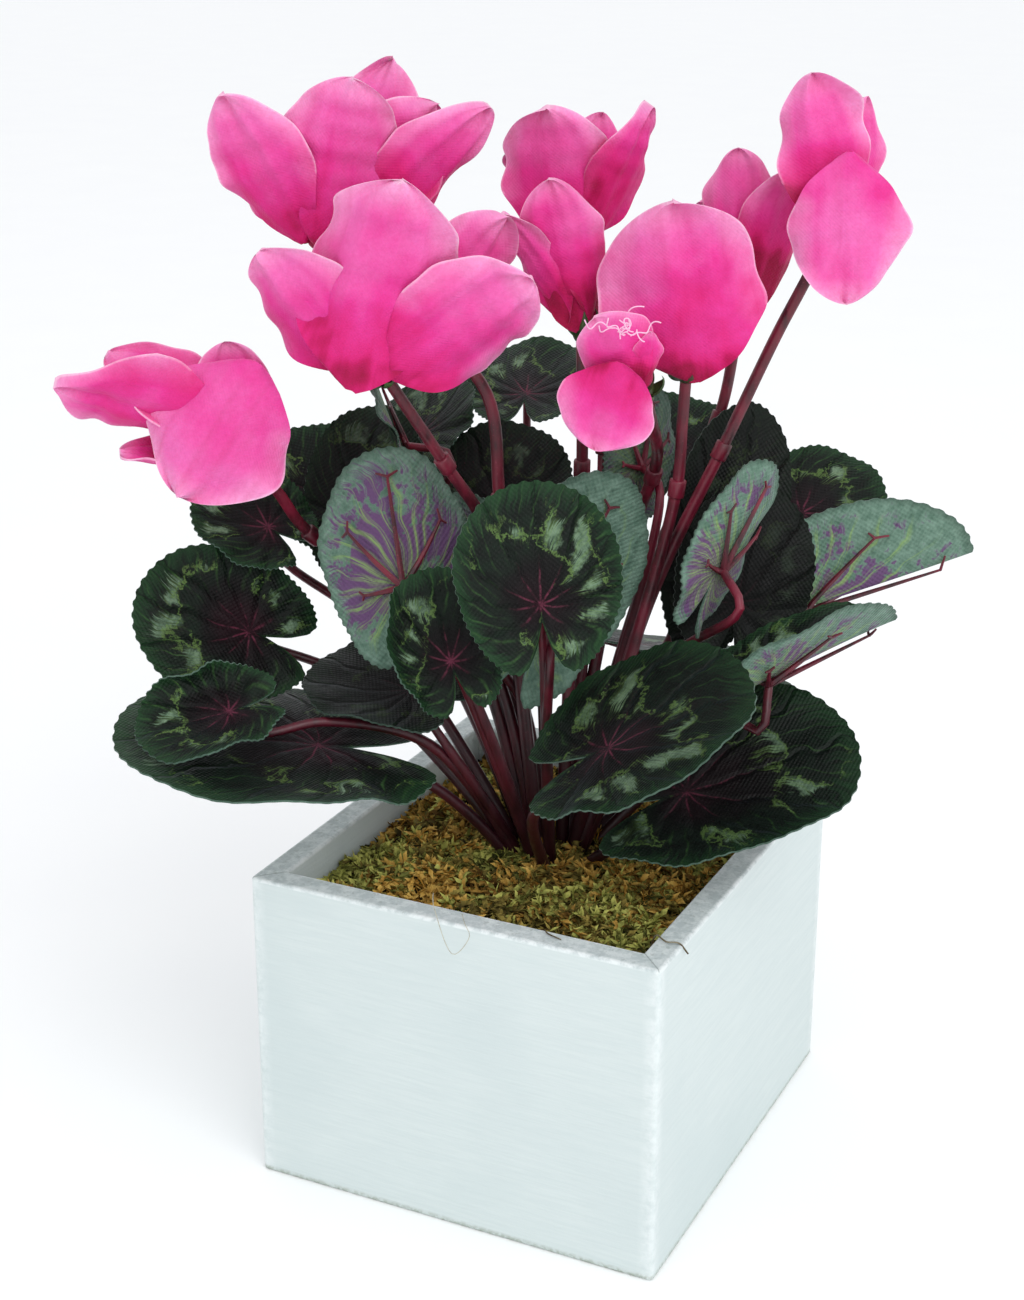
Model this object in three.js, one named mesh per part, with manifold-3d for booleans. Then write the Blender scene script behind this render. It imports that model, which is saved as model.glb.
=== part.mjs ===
// A potted cyclamen: silk leaves and blooms on one moulded bush of stems, set in a foam block
// under moss, in a square wooden box. Millimetres, +Z up, origin at the centre of the underside.
import * as THREE from 'three';
import { mergeVertices } from 'three/addons/utils/BufferGeometryUtils.js';
import Module from 'manifold-3d';

const wasm = await Module();
wasm.setup();

// Driving dimensions.
const box = { width: 120, depth: 130, height: 92.5, wall: 7.5, floor: 6 };
const seatGap = 0.3; // clearance between pieces that touch
const foam = { top: 72, holeRadius: 9, holeDepth: 42 };
const moss = { edge: 82, crown: 3.5, bump: 1.4, wallGap: 1, hole: 17, cells: 12, seed: 5 };
const trunk = { spike: 8.5, head: 12.5, top: 79, sides: 8, inner: 2, outer: 11, root: 2 };
const leafSheet = { thick: 0.7, sides: 24, rings: [0.55, 1], tooth: 0.025, lobe: 0.66 };
const leafRib = { radius: 0.8, gap: 0.45, turns: [-3, 0, 3], rings: [0, 0.55, 0.8] };
const petiole = { radius: 1.35, sides: 4, steps: 6, lead: 12 };
const stalk = { radius: 1.75, sides: 5, steps: 7, lead: 12 };
const sleeve = { radius: 2.4, length: 5, sides: 6 };
const petalSheet = { thick: 0.7, rows: [0, 0.3, 0.76], cells: 2, root: 0.3 };
const claw = { radius: 0.9, sides: 3, reach: 0.1 };
const heart = { radius: 3.4 }; // the knob inside a bloom that carries its petals
const calyx = { radius: 2.8, length: 4, sepals: 5, sepalLength: 5, sepalWidth: 4.4, thick: 1, lean: 94 };
const arcSteps = 8; // slices in which a bent sheet's slope is summed

const colours = {
  paint: 0xdde6e8, foam: 0x4c5a3a, moss: 0x6b6230, stem: 0x5e1228,
  leaf: 0x24382a, petal: 0xe83a8e, sepal: 0x24401c,
};

// Leaves. at is where the stalk meets the blade and tip its far end. face is the azimuth and
// elevation, in degrees, that the upper side looks to: azimuth 0 is -Y and 90 is +X. wide
// stretches the outline. fold and cup lift both halves towards the upper side, and bend and curl
// lift the far end, in degrees. via are points that the stalk passes on its way up.
const leaves = {
  leaf_01: { at: [-78, -33, 150], tip: [-103, -51, 162], face: [5, 35], wide: 0.95, cup: 20, bend: -10,
    via: [[-58, -9, 130]] },
  leaf_02: { at: [-63, -67, 141], tip: [-82, -83, 136], face: [0, 58], wide: 0.95, cup: 25,
    via: [[-47, -45, 133], [-26, -24, 122]] },
  leaf_03: { at: [-49, -46, 126], tip: [-90, -82, 133], face: [-10, 76], wide: 0.95, fold: 5,
    cup: -15, bend: -10, via: [[-30, -27, 113]] },
  leaf_04: { at: [-31, -29, 169], tip: [-42, -19, 204], face: [215, 15], wide: 0.85, fold: 10, cup: 25,
    lead: 6, via: [[-14, -29, 148]] },
  leaf_05: { at: [-60, -1, 178], tip: [-63, 18, 205], face: [20, 50], wide: 0.75, cup: 15,
    via: [[-37, 9, 132]] },
  leaf_06: { at: [-74, 4, 179], tip: [-93, 11, 195], face: [10, 55], wide: 1, cup: 10,
    via: [[-40, 10, 134]] },
  leaf_07: { at: [-78, -21, 177], tip: [-98, -24, 188], face: [0, 60], wide: 1, cup: 10,
    via: [[-54, 0, 142]] },
  leaf_08: { at: [-31, -26, 138], tip: [-63, -18, 140], face: [-30, 72], wide: 1, cup: 25 },
  leaf_09: { at: [-45, -3, 199], tip: [-58, 4, 216], face: [285, 10], wide: 0.9, cup: 10,
    via: [[-38, -3, 170], [-15, -3, 135]] },
  leaf_10: { at: [-12, -38, 154], tip: [-22, -34, 177], face: [20, 20], wide: 0.95, cup: 30 },
  leaf_11: { at: [13, -36, 173], tip: [6, -28, 203], face: [26, 15], wide: 1, cup: 15 },
  leaf_12: { at: [5, -15, 161], tip: [19, 3, 198], face: [220, 8], wide: 0.7, cup: 10,
    via: [[6, -17, 128]] },
  leaf_13: { at: [-24, 2, 160], tip: [-39, 8, 183], face: [200, 35], wide: 1, cup: 10,
    via: [[-9, 0, 128]] },
  leaf_14: { at: [-25, 19, 179], tip: [-31, 34, 200], face: [20, 45], wide: 1.1, cup: 10 },
  leaf_15: { at: [-33, 51, 204], tip: [-41, 76, 214], face: [200, 45], wide: 1, cup: 10,
    via: [[-16, 24, 151]] },
  leaf_16: { at: [-53, 23, 196], tip: [-58, 43, 208], face: [200, 45], wide: 1, cup: 10 },
  leaf_17: { at: [12, 30, 192], tip: [11, 42, 213], face: [225, 20], wide: 0.75, cup: 15 },
  leaf_18: { at: [9, 64, 184], tip: [2, 83, 201], face: [26, 50], wide: 1, cup: 10,
    via: [[8, 34, 132]] },
  leaf_19: { at: [35, 32, 168], tip: [39, 48, 210], face: [40, 20], wide: 0.55, cup: 15 },
  leaf_20: { at: [46, 4, 175], tip: [54, 22, 201], face: [250, 10], wide: 0.62, cup: 25,
    via: [[30, 8, 144]] },
  leaf_21: { at: [45, 23, 160], tip: [46, 37, 190], face: [30, 20], wide: 0.85, cup: 10, lead: 7,
    via: [[31, 15, 140]] },
  leaf_22: { at: [47, 69, 173], tip: [62, 89, 183], face: [40, 55], wide: 1, cup: 10,
    via: [[20, 46, 138]] },
  leaf_23: { at: [54, 54, 150], tip: [94, 88, 162], face: [225, 40], wide: 0.72, fold: 35, cup: 10 },
  leaf_24: { at: [62, 0, 148], tip: [88, 28, 161], face: [212, 70], wide: 0.72, fold: 25, cup: 15,
    via: [[29, 8, 147]] },
  leaf_25: { at: [33, -37, 137], tip: [68, -26, 156], face: [26, 74], wide: 1.05, cup: 15,
    via: [[8, -28, 110]] },
  leaf_26: { at: [46, -14, 118], tip: [85, 10, 131], face: [26, 58], wide: 0.85, cup: 30 },
  leaf_27: { at: [-42, 40, 150], tip: [-68, 64, 142], face: [225, 60], wide: 0.85, cup: 10,
    via: [[-20, 18, 118]] },
  leaf_28: { at: [2, 60, 128], tip: [2, 92, 118], face: [180, 60], wide: 1, cup: 10 },
  leaf_29: { at: [34, 54, 122], tip: [46, 80, 113], face: [150, 60], wide: 1, cup: 10 },
};

// Blooms. at is the root of the petals, via are points that the stalk passes, and the sleeve
// where two lengths of stalk are pushed together sits at the one numbered sleeve. A petal runs
// from its claw to its tip; face is the way its inner side looks, wide and cup are as in leaves.
const blooms = {
  bloom_1: {
    at: [-67, -48, 207], via: [[-63, -22, 177], [-28, -6, 154]], sleeve: 0,
    petals: [
      { from: [-58, -53, 232], tip: [-74, -69, 199], face: [200, -5], wide: 1.04, cup: 40 },
      { from: [-67, -51, 211], tip: [-103, -79, 227], face: [200, 35], wide: 0.73, cup: 45 },
      { from: [-69, -46, 209], tip: [-100, -60, 232], face: [60, 50], wide: 0.67, cup: 30 },
      { from: [-68, -46, 209], tip: [-75, -43, 234], face: [40, 10], wide: 0.85, cup: 35 },
      { from: [-68, -49, 206], tip: [-95, -64, 207], face: [20, 70], wide: 0.55, cup: 30 },
    ],
  },
  bloom_2: {
    at: [-55, -27, 260], via: [[-19, -4, 219], [-14, -5, 190], [-10, -5, 157]], sleeve: 1,
    petals: [
      { from: [-57, -31, 259], tip: [-72, -44, 297], face: [190, 10], wide: 0.61, cup: 30 },
      { from: [-52, -30, 257], tip: [-42, -30, 301], face: [212, 5], wide: 0.81, cup: 45 },
      { from: [-52, -23, 260], tip: [-46, -2, 303], face: [26, 15], wide: 0.51, cup: 30 },
      { from: [-49, -24, 261], tip: [-31, -6, 293], face: [50, 10], wide: 0.67, cup: 35 },
      { from: [-46, -25, 261], tip: [-16, -6, 293], face: [240, 0], wide: 0.51, cup: 35 },
      { from: [-61, -26, 262], tip: [-79, -14, 284], face: [0, 15], wide: 0.73, cup: 30 },
    ],
  },
  bloom_3: {
    at: [-32, -40, 233], via: [[-22, -20, 201], [-16, -9, 182], [-10, -6, 156]], sleeve: 0,
    petals: [
      { from: [-36, -46, 226], tip: [-21, -44, 279], face: [203, 5], wide: 0.81, cup: 55 },
      { from: [-37, -43, 230], tip: [-56, -54, 261], face: [180, 0], wide: 0.76, cup: 30 },
      { from: [-27, -41, 229], tip: [6, -26, 254], face: [232, 5], wide: 0.81, cup: 35 },
      { from: [-28, -36, 232], tip: [-8, -13, 267], face: [225, 10], wide: 0.61, cup: 30 },
      { from: [-34, -38, 235], tip: [-35, -19, 263], face: [30, 20], wide: 0.85, cup: 30 },
    ],
  },
  bloom_4: {
    at: [-6, 26, 260], via: [[2, 28, 197], [4, 15, 157]], sleeve: 0,
    petals: [
      { from: [-8, 21, 256], tip: [-10, 15, 291], face: [200, 5], wide: 0.92, cup: 40 },
      { from: [-1, 25, 255], tip: [14, 29, 291], face: [240, 0], wide: 0.51, cup: 45 },
      { from: [-5, 29, 259], tip: [-5, 40, 287], face: [215, 0], wide: 0.67, cup: 35 },
      { from: [-11, 26, 259], tip: [-24, 21, 278], face: [150, 0], wide: 0.73, cup: 30 },
      { from: [-8, 28, 261], tip: [-16, 46, 284], face: [26, 20], wide: 0.92, cup: 30 },
    ],
  },
  bloom_5: {
    at: [7, 1, 241], via: [[4, 9, 196], [3, 5, 145]], sleeve: 0,
    petals: [
      { from: [8, -2, 237], tip: [1, -7, 276], face: [205, 5], wide: 0.61, cup: 60 },
      { from: [5, -2, 239], tip: [-11, -10, 267], face: [170, 5], wide: 0.46, cup: 45 },
      { from: [10, 1, 239], tip: [9, 2, 267], face: [250, 5], wide: 0.51, cup: 50 },
      { from: [4, 3, 241], tip: [-7, 8, 269], face: [26, 5], wide: 0.61, cup: 50 },
    ],
  },
  bloom_6: {
    at: [31, -16, 230], via: [[29, 0, 210], [21, 19, 195], [10, 17, 161]], sleeve: 1,
    petals: [
      { from: [29, -24, 235], tip: [24, -28, 213], face: [206, -10], wide: 1.15, cup: 35 },
      { from: [32, -19, 229], tip: [22, -25, 246], face: [200, 0], wide: 1.04, cup: 35 },
      { from: [33, -18, 228], tip: [34, -17, 242], face: [235, 0], wide: 0.61, cup: 40 },
      { from: [29, -14, 230], tip: [17, -10, 235], face: [26, 30], wide: 1.10, cup: 30 },
    ],
  },
  bloom_7: {
    at: [35, 6, 232], via: [[31, 11, 194], [24, 5, 157]], sleeve: 0,
    petals: [
      { from: [38, 3, 225], tip: [33, -2, 272], face: [206, 8], wide: 0.95, cup: 35 },
      { from: [31, 6, 232], tip: [18, -2, 255], face: [160, 0], wide: 0.67, cup: 30 },
      { from: [38, 6, 231], tip: [41, 16, 255], face: [240, 10], wide: 0.73, cup: 30 },
      { from: [33, 8, 233], tip: [28, 23, 262], face: [26, 10], wide: 0.85, cup: 30 },
    ],
  },
  bloom_8: {
    at: [38, 43, 247], via: [[30, 44, 206], [17, 22, 160]], sleeve: 0,
    petals: [
      { from: [37, 40, 245], tip: [34, 41, 280], face: [195, 5], wide: 0.61, cup: 40 },
      { from: [41, 40, 239], tip: [50, 42, 276], face: [226, 0], wide: 0.61, cup: 50 },
      { from: [35, 44, 248], tip: [23, 42, 265], face: [160, 0], wide: 0.67, cup: 30 },
      { from: [38, 46, 248], tip: [36, 64, 266], face: [40, 20], wide: 0.73, cup: 30 },
    ],
  },
  bloom_9: {
    at: [64, 34, 263], via: [[52, 27, 235], [40, 21, 204], [25, 8, 162]], sleeve: 1,
    petals: [
      { from: [66, 32, 262], tip: [56, 32, 301], face: [206, 5], wide: 0.63, cup: 30 },
      { from: [68, 31, 282], tip: [70, 27, 244], face: [206, 10], wide: 0.81, cup: 30 },
      { from: [67, 36, 263], tip: [66, 48, 294], face: [230, 0], wide: 0.55, cup: 30 },
      { from: [62, 36, 264], tip: [51, 45, 280], face: [26, 10], wide: 0.85, cup: 35 },
    ],
  },
};

const up = new THREE.Vector3(0, 0, 1);
const radians = THREE.MathUtils.degToRad;
const vector = (list) => new THREE.Vector3(...list);

// The direction of an azimuth and elevation, in degrees.
function direction([azimuth, elevation]) {
  const a = radians(azimuth);
  const e = radians(elevation);
  return new THREE.Vector3(Math.sin(a) * Math.cos(e), -Math.cos(a) * Math.cos(e), Math.sin(e));
}

// A closed geometry as a solid for cutting and joining.
function solid(geometry) {
  const bare = geometry.index ? geometry.clone() : geometry;
  bare.deleteAttribute('normal');
  bare.deleteAttribute('uv');
  const merged = mergeVertices(bare, 1e-4);
  const vertProperties = Float32Array.from(merged.attributes.position.array);
  const triVerts = Uint32Array.from(merged.index.array);
  return new wasm.Manifold(new wasm.Mesh({ numProp: 3, vertProperties, triVerts }));
}

// A solid back as a geometry.
function geometryOf(manifold) {
  const { vertProperties, triVerts } = manifold.getMesh();
  const geometry = new THREE.BufferGeometry();
  geometry.setAttribute('position', new THREE.BufferAttribute(vertProperties, 3));
  geometry.setIndex(new THREE.BufferAttribute(triVerts, 1));
  geometry.computeVertexNormals();
  return geometry;
}

function join(geometries) {
  return geometries.map(solid).reduce((whole, piece) => whole.add(piece));
}

// Where a curve ends that starts along x and whose slope after a length t is slope(t).
function arcEnd(slope, length) {
  let x = 0;
  let z = 0;
  for (let i = 0; i < arcSteps; i += 1) {
    const angle = slope((length * (i + 0.5)) / arcSteps);
    x += (Math.cos(angle) * length) / arcSteps;
    z += (Math.sin(angle) * length) / arcSteps;
  }
  return [x, z];
}

// A sheet from root to tip, as a function of a place on its flat cut, in lengths of the sheet: x
// runs to the tip and y to its left. Across, it rises by fold and cup over half its width; along,
// by bend and curl. Its chord keeps to the line from root to tip, and up its face.
function bentSheet({ root, tip, face, fold = 0, cup = 0, bend = 0, curl = 0 }, halfWidth) {
  const along = (t) => radians(bend) * t + radians(curl) * t ** 3;
  const across = (t) => radians(fold) + (radians(cup) * t) / halfWidth;
  const chord = arcEnd(along, 1);
  const tilt = Math.atan2(chord[1], chord[0]);
  const toTip = tip.clone().sub(root);
  const length = toTip.length() / Math.hypot(...chord);
  const ahead = toTip.normalize();
  const above = direction(face);
  above.addScaledVector(ahead, -above.dot(ahead)).normalize();
  const left = above.clone().cross(ahead);
  const point = (x, y) => {
    const [cx, cz] = x > 0 ? arcEnd(along, x) : [x, 0];
    const slope = x > 0 ? along(x) : 0;
    const [sy, sz] = arcEnd(across, Math.abs(y));
    const px = cx - Math.sin(slope) * sz;
    const pz = cz + Math.cos(slope) * sz;
    return root.clone()
      .addScaledVector(ahead, length * (px * Math.cos(tilt) + pz * Math.sin(tilt)))
      .addScaledVector(left, length * Math.sign(y) * sy)
      .addScaledVector(above, length * (pz * Math.cos(tilt) - px * Math.sin(tilt)));
  };
  const normal = (x, y) => {
    const d = 0.02;
    const dx = point(x + d, y).sub(point(x - d, y));
    const dy = point(x, y + d).sub(point(x, y - d));
    return dx.cross(dy).normalize();
  };
  return { point, normal, length, ahead, above };
}

// A sheet's flat points and triangles given a thickness, alike on both faces. rim lists the
// points round the edge in the same turn as the triangles.
function thicken(sheet, flat, triangles, rim, thick) {
  const positions = [];
  for (const side of [0.5, -0.5]) {
    for (const [x, y] of flat) {
      const p = sheet.point(x, y).addScaledVector(sheet.normal(x, y), side * thick);
      positions.push(p.x, p.y, p.z);
    }
  }
  const index = [];
  const under = flat.length;
  for (const [a, b, c] of triangles) index.push(a, b, c, under + a, under + c, under + b);
  rim.forEach((a, i) => {
    const b = rim[(i + 1) % rim.length];
    index.push(a, under + a, under + b, a, under + b, b);
  });
  const geometry = new THREE.BufferGeometry();
  geometry.setAttribute('position', new THREE.Float32BufferAttribute(positions, 3));
  geometry.setIndex(index);
  return geometry;
}

// The outline of a heart-shaped leaf: its reach from the stalk in the direction angle, with the
// notch at the back and a blunt tooth at every other point.
function leafReach(angle, i) {
  const notch = (Math.PI - Math.abs(angle)) / 0.22;
  const body = 0.74 + 0.18 * Math.cos(angle) + 0.08 * Math.cos(2 * angle);
  const tooth = i % 2 ? leafSheet.tooth : -leafSheet.tooth;
  return body * (1 - 0.75 * Math.exp(-notch * notch)) * (1 + tooth);
}

function leafSheetOf(row) {
  return bentSheet({ ...row, root: vector(row.at), tip: vector(row.tip) }, leafSheet.lobe * row.wide);
}

function leafPoint(row, i, ring) {
  const angle = (i / leafSheet.sides) * 2 * Math.PI;
  const turned = angle > Math.PI ? angle - 2 * Math.PI : angle;
  const reach = leafReach(turned, i) * ring;
  return [reach * Math.cos(turned), reach * Math.sin(turned) * row.wide];
}

// A blade of rings of points round the stalk, halving in number towards it.
function leafBlade(row) {
  const flat = [[0, 0]];
  const rings = leafSheet.rings.map((ring, k) => {
    const skip = 2 ** (leafSheet.rings.length - 1 - k);
    const list = [];
    for (let i = 0; i < leafSheet.sides; i += skip) {
      list.push(flat.length);
      flat.push(leafPoint(row, i, ring));
    }
    return list;
  });
  const triangles = rings[0].map((a, i) => [0, a, rings[0][(i + 1) % rings[0].length]]);
  for (let k = 1; k < rings.length; k += 1) {
    const inner = rings[k - 1];
    const outer = rings[k];
    inner.forEach((a, i) => {
      const b = inner[(i + 1) % inner.length];
      const [p, q, r] = [0, 1, 2].map((n) => outer[(2 * i + n) % outer.length]);
      triangles.push([a, p, q], [a, q, b], [b, q, r]);
    });
  }
  return thicken(leafSheetOf(row), flat, triangles, rings.at(-1), leafSheet.thick);
}

// Half the width of a petal along its length, widest past the middle and round at both ends.
function petalHalf(t, wide) {
  const round = Math.sin(Math.PI * t ** 1.1) ** 0.6;
  return 0.5 * wide * Math.max(round, petalSheet.root);
}

function petal(row) {
  const sheet = bentSheet({ ...row, root: vector(row.from), tip: vector(row.tip) }, 0.5 * row.wide);
  const { cells, rows } = petalSheet;
  const flat = [];
  for (const t of rows) {
    for (let j = 0; j <= cells; j += 1) flat.push([t, petalHalf(t, row.wide) * ((2 * j) / cells - 1)]);
  }
  const tipIndex = flat.push([1, 0]) - 1;
  const triangles = [];
  const last = (rows.length - 1) * (cells + 1);
  for (let j = 0; j < cells; j += 1) {
    for (let k = 0; k < last; k += cells + 1) {
      const a = k + j;
      triangles.push([a, a + cells + 1, a + cells + 2], [a, a + cells + 2, a + 1]);
    }
    triangles.push([last + j, tipIndex, last + j + 1]);
  }
  const right = rows.map((_, k) => k * (cells + 1));
  const left = right.map((a) => a + cells);
  const rootEdge = Array.from({ length: cells - 1 }, (_, j) => cells - 1 - j);
  const rim = [...right, tipIndex, ...left.reverse(), ...rootEdge];
  return thicken(sheet, flat, triangles, rim, petalSheet.thick);
}

// The claw that holds a petal in the heart of its bloom.
function petalClaw(row, root) {
  const start = vector(row.from);
  return bar([root, start.clone().lerp(vector(row.tip), claw.reach)], claw.radius, claw.sides, 1);
}

// The way that a stalk runs into its bloom.
function bloomAxis(row) {
  return vector(row.at).sub(vector(row.via[0])).normalize();
}

// A geometry made along +Z, turned to an axis and moved to a place.
function stand(geometry, axis, place) {
  geometry.applyQuaternion(new THREE.Quaternion().setFromUnitVectors(up, axis));
  return geometry.translate(place.x, place.y, place.z);
}

function bloomPetals(row) {
  const root = vector(row.at);
  const knob = new THREE.IcosahedronGeometry(heart.radius).translate(root.x, root.y, root.z);
  const bloom = join([knob, ...row.petals.flatMap((one) => [petal(one), petalClaw(one, root)])]);
  const [largest] = bloom.decompose().sort((a, b) => b.volume() - a.volume());
  return geometryOf(largest);
}

// The green cup under a bloom, with its pointed sepals.
function bloomSepals(row) {
  const axis = bloomAxis(row);
  const seat = vector(row.at).addScaledVector(axis, -(heart.radius + seatGap + calyx.length));
  const cup = new THREE.CylinderGeometry(calyx.radius, calyx.radius * 0.7, calyx.length, calyx.sepals)
    .rotateX(Math.PI / 2).translate(0, 0, calyx.length / 2);
  const parts = [cup];
  for (let i = 0; i < calyx.sepals; i += 1) {
    const sepal = new THREE.ConeGeometry(calyx.sepalWidth / 2, calyx.sepalLength, 4)
      .scale(1, 1, calyx.thick / calyx.sepalWidth)
      .translate(0, calyx.sepalLength / 2, 0)
      .rotateX(Math.PI / 2 - radians(calyx.lean))
      .translate(0, calyx.radius * 0.4, calyx.length * 0.2)
      .rotateZ((i / calyx.sepals) * 2 * Math.PI);
    parts.push(sepal);
  }
  return geometryOf(join(parts.map((part) => stand(part, axis, seat))));
}

// A round bar of a given radius through points.
function bar(points, radius, sides, steps) {
  const ring = [];
  for (let i = 0; i < sides; i += 1) {
    const a = (i / sides) * 2 * Math.PI;
    ring.push(new THREE.Vector2(radius * Math.cos(a), radius * Math.sin(a)));
  }
  const extrudePath = new THREE.CatmullRomCurve3(points, false, 'centripetal');
  return new THREE.ExtrudeGeometry(new THREE.Shape(ring), { steps, extrudePath });
}

// The points of a stem from the trunk's head to where it ends, which it meets along arriving.
function stemPoints(end, arriving, lead, via = []) {
  const first = via.length ? vector(via.at(-1)) : end;
  const aside = Math.hypot(first.x, first.y) / (first.z - trunk.top);
  const reach = THREE.MathUtils.lerp(trunk.inner, trunk.outer, Math.min(aside, 1));
  const outward = new THREE.Vector3(first.x, first.y, 0).setLength(reach);
  const foot = outward.clone().setZ(trunk.top - trunk.root);
  const neck = outward.clone().multiplyScalar(1.15).setZ(trunk.top + 5);
  const before = end.clone().addScaledVector(arriving, -lead);
  return [foot, neck, ...via.map(vector).reverse(), before, end];
}

// A leaf's stalk, and the ribs that spread from its head under the blade.
function leafStalk(row) {
  const sheet = leafSheetOf(row);
  const drop = leafSheet.thick / 2 + leafRib.gap + leafRib.radius;
  const under = (i, ring) => {
    const [x, y] = leafPoint(row, (i + leafSheet.sides) % leafSheet.sides, ring);
    return sheet.point(x, y).addScaledVector(sheet.normal(x, y), -drop);
  };
  const arriving = sheet.ahead.clone().multiplyScalar(0.6).addScaledVector(sheet.above, 0.8).normalize();
  const head = sheet.point(0, 0).addScaledVector(sheet.normal(0, 0), -drop - 0.3);
  const ribs = leafRib.turns.map((turn) => (
    bar(leafRib.rings.map((ring) => under(turn, ring)), leafRib.radius, 3, leafRib.rings.length - 1)));
  const points = stemPoints(head, arriving, row.lead ?? petiole.lead, row.via);
  return [bar(points, petiole.radius, petiole.sides, petiole.steps), ...ribs];
}

// A bloom's stalk, with the sleeve where its two lengths meet.
function bloomStalk(row) {
  const axis = bloomAxis(row);
  const end = vector(row.at).addScaledVector(axis, -(heart.radius + calyx.length + 2 * seatGap));
  const points = stemPoints(end, axis, stalk.lead, row.via);
  const curve = new THREE.CatmullRomCurve3(points, false, 'centripetal');
  const joint = vector(row.via[row.sleeve]);
  const along = [...Array(200).keys()].map((i) => i / 200)
    .reduce((best, t) => (curve.getPoint(t).distanceTo(joint) < curve.getPoint(best).distanceTo(joint)
      ? t : best), 0);
  const collar = new THREE.CylinderGeometry(sleeve.radius, sleeve.radius, sleeve.length, sleeve.sides)
    .rotateX(Math.PI / 2);
  return [bar(points, stalk.radius, stalk.sides, stalk.steps),
    stand(collar, curve.getTangent(along), curve.getPoint(along))];
}

// One moulded bush: the trunk that stands in the foam and every stalk that grows from it.
function stemBush() {
  const foot = foam.top - foam.holeDepth + seatGap;
  const under = foam.top + seatGap;
  const profile = [[0, foot], [trunk.spike, foot], [trunk.spike, under], [trunk.head, under],
    [trunk.head, trunk.top - 1], [0, trunk.top]].map(([x, y]) => new THREE.Vector2(x, y));
  const core = new THREE.LatheGeometry(profile, trunk.sides).rotateX(Math.PI / 2);
  const stalks = [...Object.values(leaves).map(leafStalk), ...Object.values(blooms).map(bloomStalk)];
  return geometryOf(join([core, ...stalks.flat()]));
}

// A wall's board, mitred at both ends: length along X with its outer face at -Y.
function board(length) {
  const outer = length / 2 - seatGap * 0.7;
  const inner = outer - box.wall;
  const plan = new THREE.Shape();
  plan.moveTo(-outer, 0);
  plan.lineTo(outer, 0);
  plan.lineTo(inner, box.wall);
  plan.lineTo(-inner, box.wall);
  return new THREE.ExtrudeGeometry(plan, { depth: box.height, bevelEnabled: false });
}

const inside = { width: box.width - 2 * box.wall, depth: box.depth - 2 * box.wall };

function baseBoard() {
  const { width, depth } = inside;
  return new THREE.BoxGeometry(width - 2 * seatGap, depth - 2 * seatGap, box.floor)
    .translate(0, 0, box.floor / 2);
}

function foamBlock() {
  const bottom = box.floor + seatGap;
  const height = foam.top - bottom;
  const block = new THREE.BoxGeometry(inside.width - 2 * seatGap, inside.depth - 2 * seatGap, height)
    .translate(0, 0, bottom + height / 2);
  const hole = new THREE.CylinderGeometry(foam.holeRadius, foam.holeRadius, foam.holeDepth * 2, 24)
    .rotateX(Math.PI / 2).translate(0, 0, foam.top);
  return geometryOf(solid(block).subtract(solid(hole)));
}

// Dried moss: a mat that rises to the middle, with seeded tufts, round a hole for the stems.
function mossLayer() {
  const bottom = foam.top + seatGap;
  const width = inside.width - 2 * moss.wallGap;
  const depth = inside.depth - 2 * moss.wallGap;
  const height = moss.edge - bottom;
  const mat = new THREE.BoxGeometry(width, depth, height, moss.cells, moss.cells, 1)
    .translate(0, 0, bottom + height / 2);
  let state = moss.seed;
  const random = () => {
    state = (state * 16807) % 2147483647;
    return state / 2147483647;
  };
  const tufts = new Map();
  const position = mat.attributes.position;
  for (let i = 0; i < position.count; i += 1) {
    if (position.getZ(i) < moss.edge - 0.01) continue;
    const x = position.getX(i);
    const y = position.getY(i);
    const key = `${x.toFixed(2)},${y.toFixed(2)}`;
    if (!tufts.has(key)) tufts.set(key, (random() * 2 - 1) * moss.bump);
    const rise = Math.cos((Math.PI * x) / width) * Math.cos((Math.PI * y) / depth);
    position.setZ(i, moss.edge + moss.crown * rise + tufts.get(key));
  }
  const hole = new THREE.CylinderGeometry(moss.hole, moss.hole, 60, 20)
    .rotateX(Math.PI / 2).translate(0, 0, moss.edge);
  return geometryOf(solid(mat).subtract(solid(hole)));
}

const group = new THREE.Group();

function add(name, geometry, color, roughness = 0.8) {
  const mesh = new THREE.Mesh(geometry, new THREE.MeshStandardMaterial({ color, roughness }));
  mesh.name = name;
  group.add(mesh);
  return mesh;
}

const walls = [
  ['front', box.width, 0, [0, -box.depth / 2, 0]],
  ['right', box.depth, Math.PI / 2, [box.width / 2, 0, 0]],
  ['back', box.width, Math.PI, [0, box.depth / 2, 0]],
  ['left', box.depth, -Math.PI / 2, [-box.width / 2, 0, 0]],
];
for (const [side, length, turn, place] of walls) {
  const wall = add(`planter_wall_${side}`, board(length), colours.paint, 0.6);
  wall.rotation.z = turn;
  wall.position.set(...place);
}
add('planter_base', baseBoard(), colours.paint, 0.7);
add('foam_block', foamBlock(), colours.foam, 0.95);
add('moss_layer', mossLayer(), colours.moss, 1);
add('stem_bush', stemBush(), colours.stem, 0.45);
for (const [name, row] of Object.entries(leaves)) add(name, leafBlade(row), colours.leaf, 0.7);
for (const [name, row] of Object.entries(blooms)) {
  add(`${name}_petals`, bloomPetals(row), colours.petal, 0.9);
  add(`${name}_sepals`, bloomSepals(row), colours.sepal, 0.7);
}

export default group;
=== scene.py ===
# A potted cyclamen of dyed cloth on moulded stems, in a square painted box under dried moss.
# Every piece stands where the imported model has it. Sizes are in millimetres until meshObject.
import math
from functools import partial

import bpy
import numpy as np
from mathutils import Matrix, Vector


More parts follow.
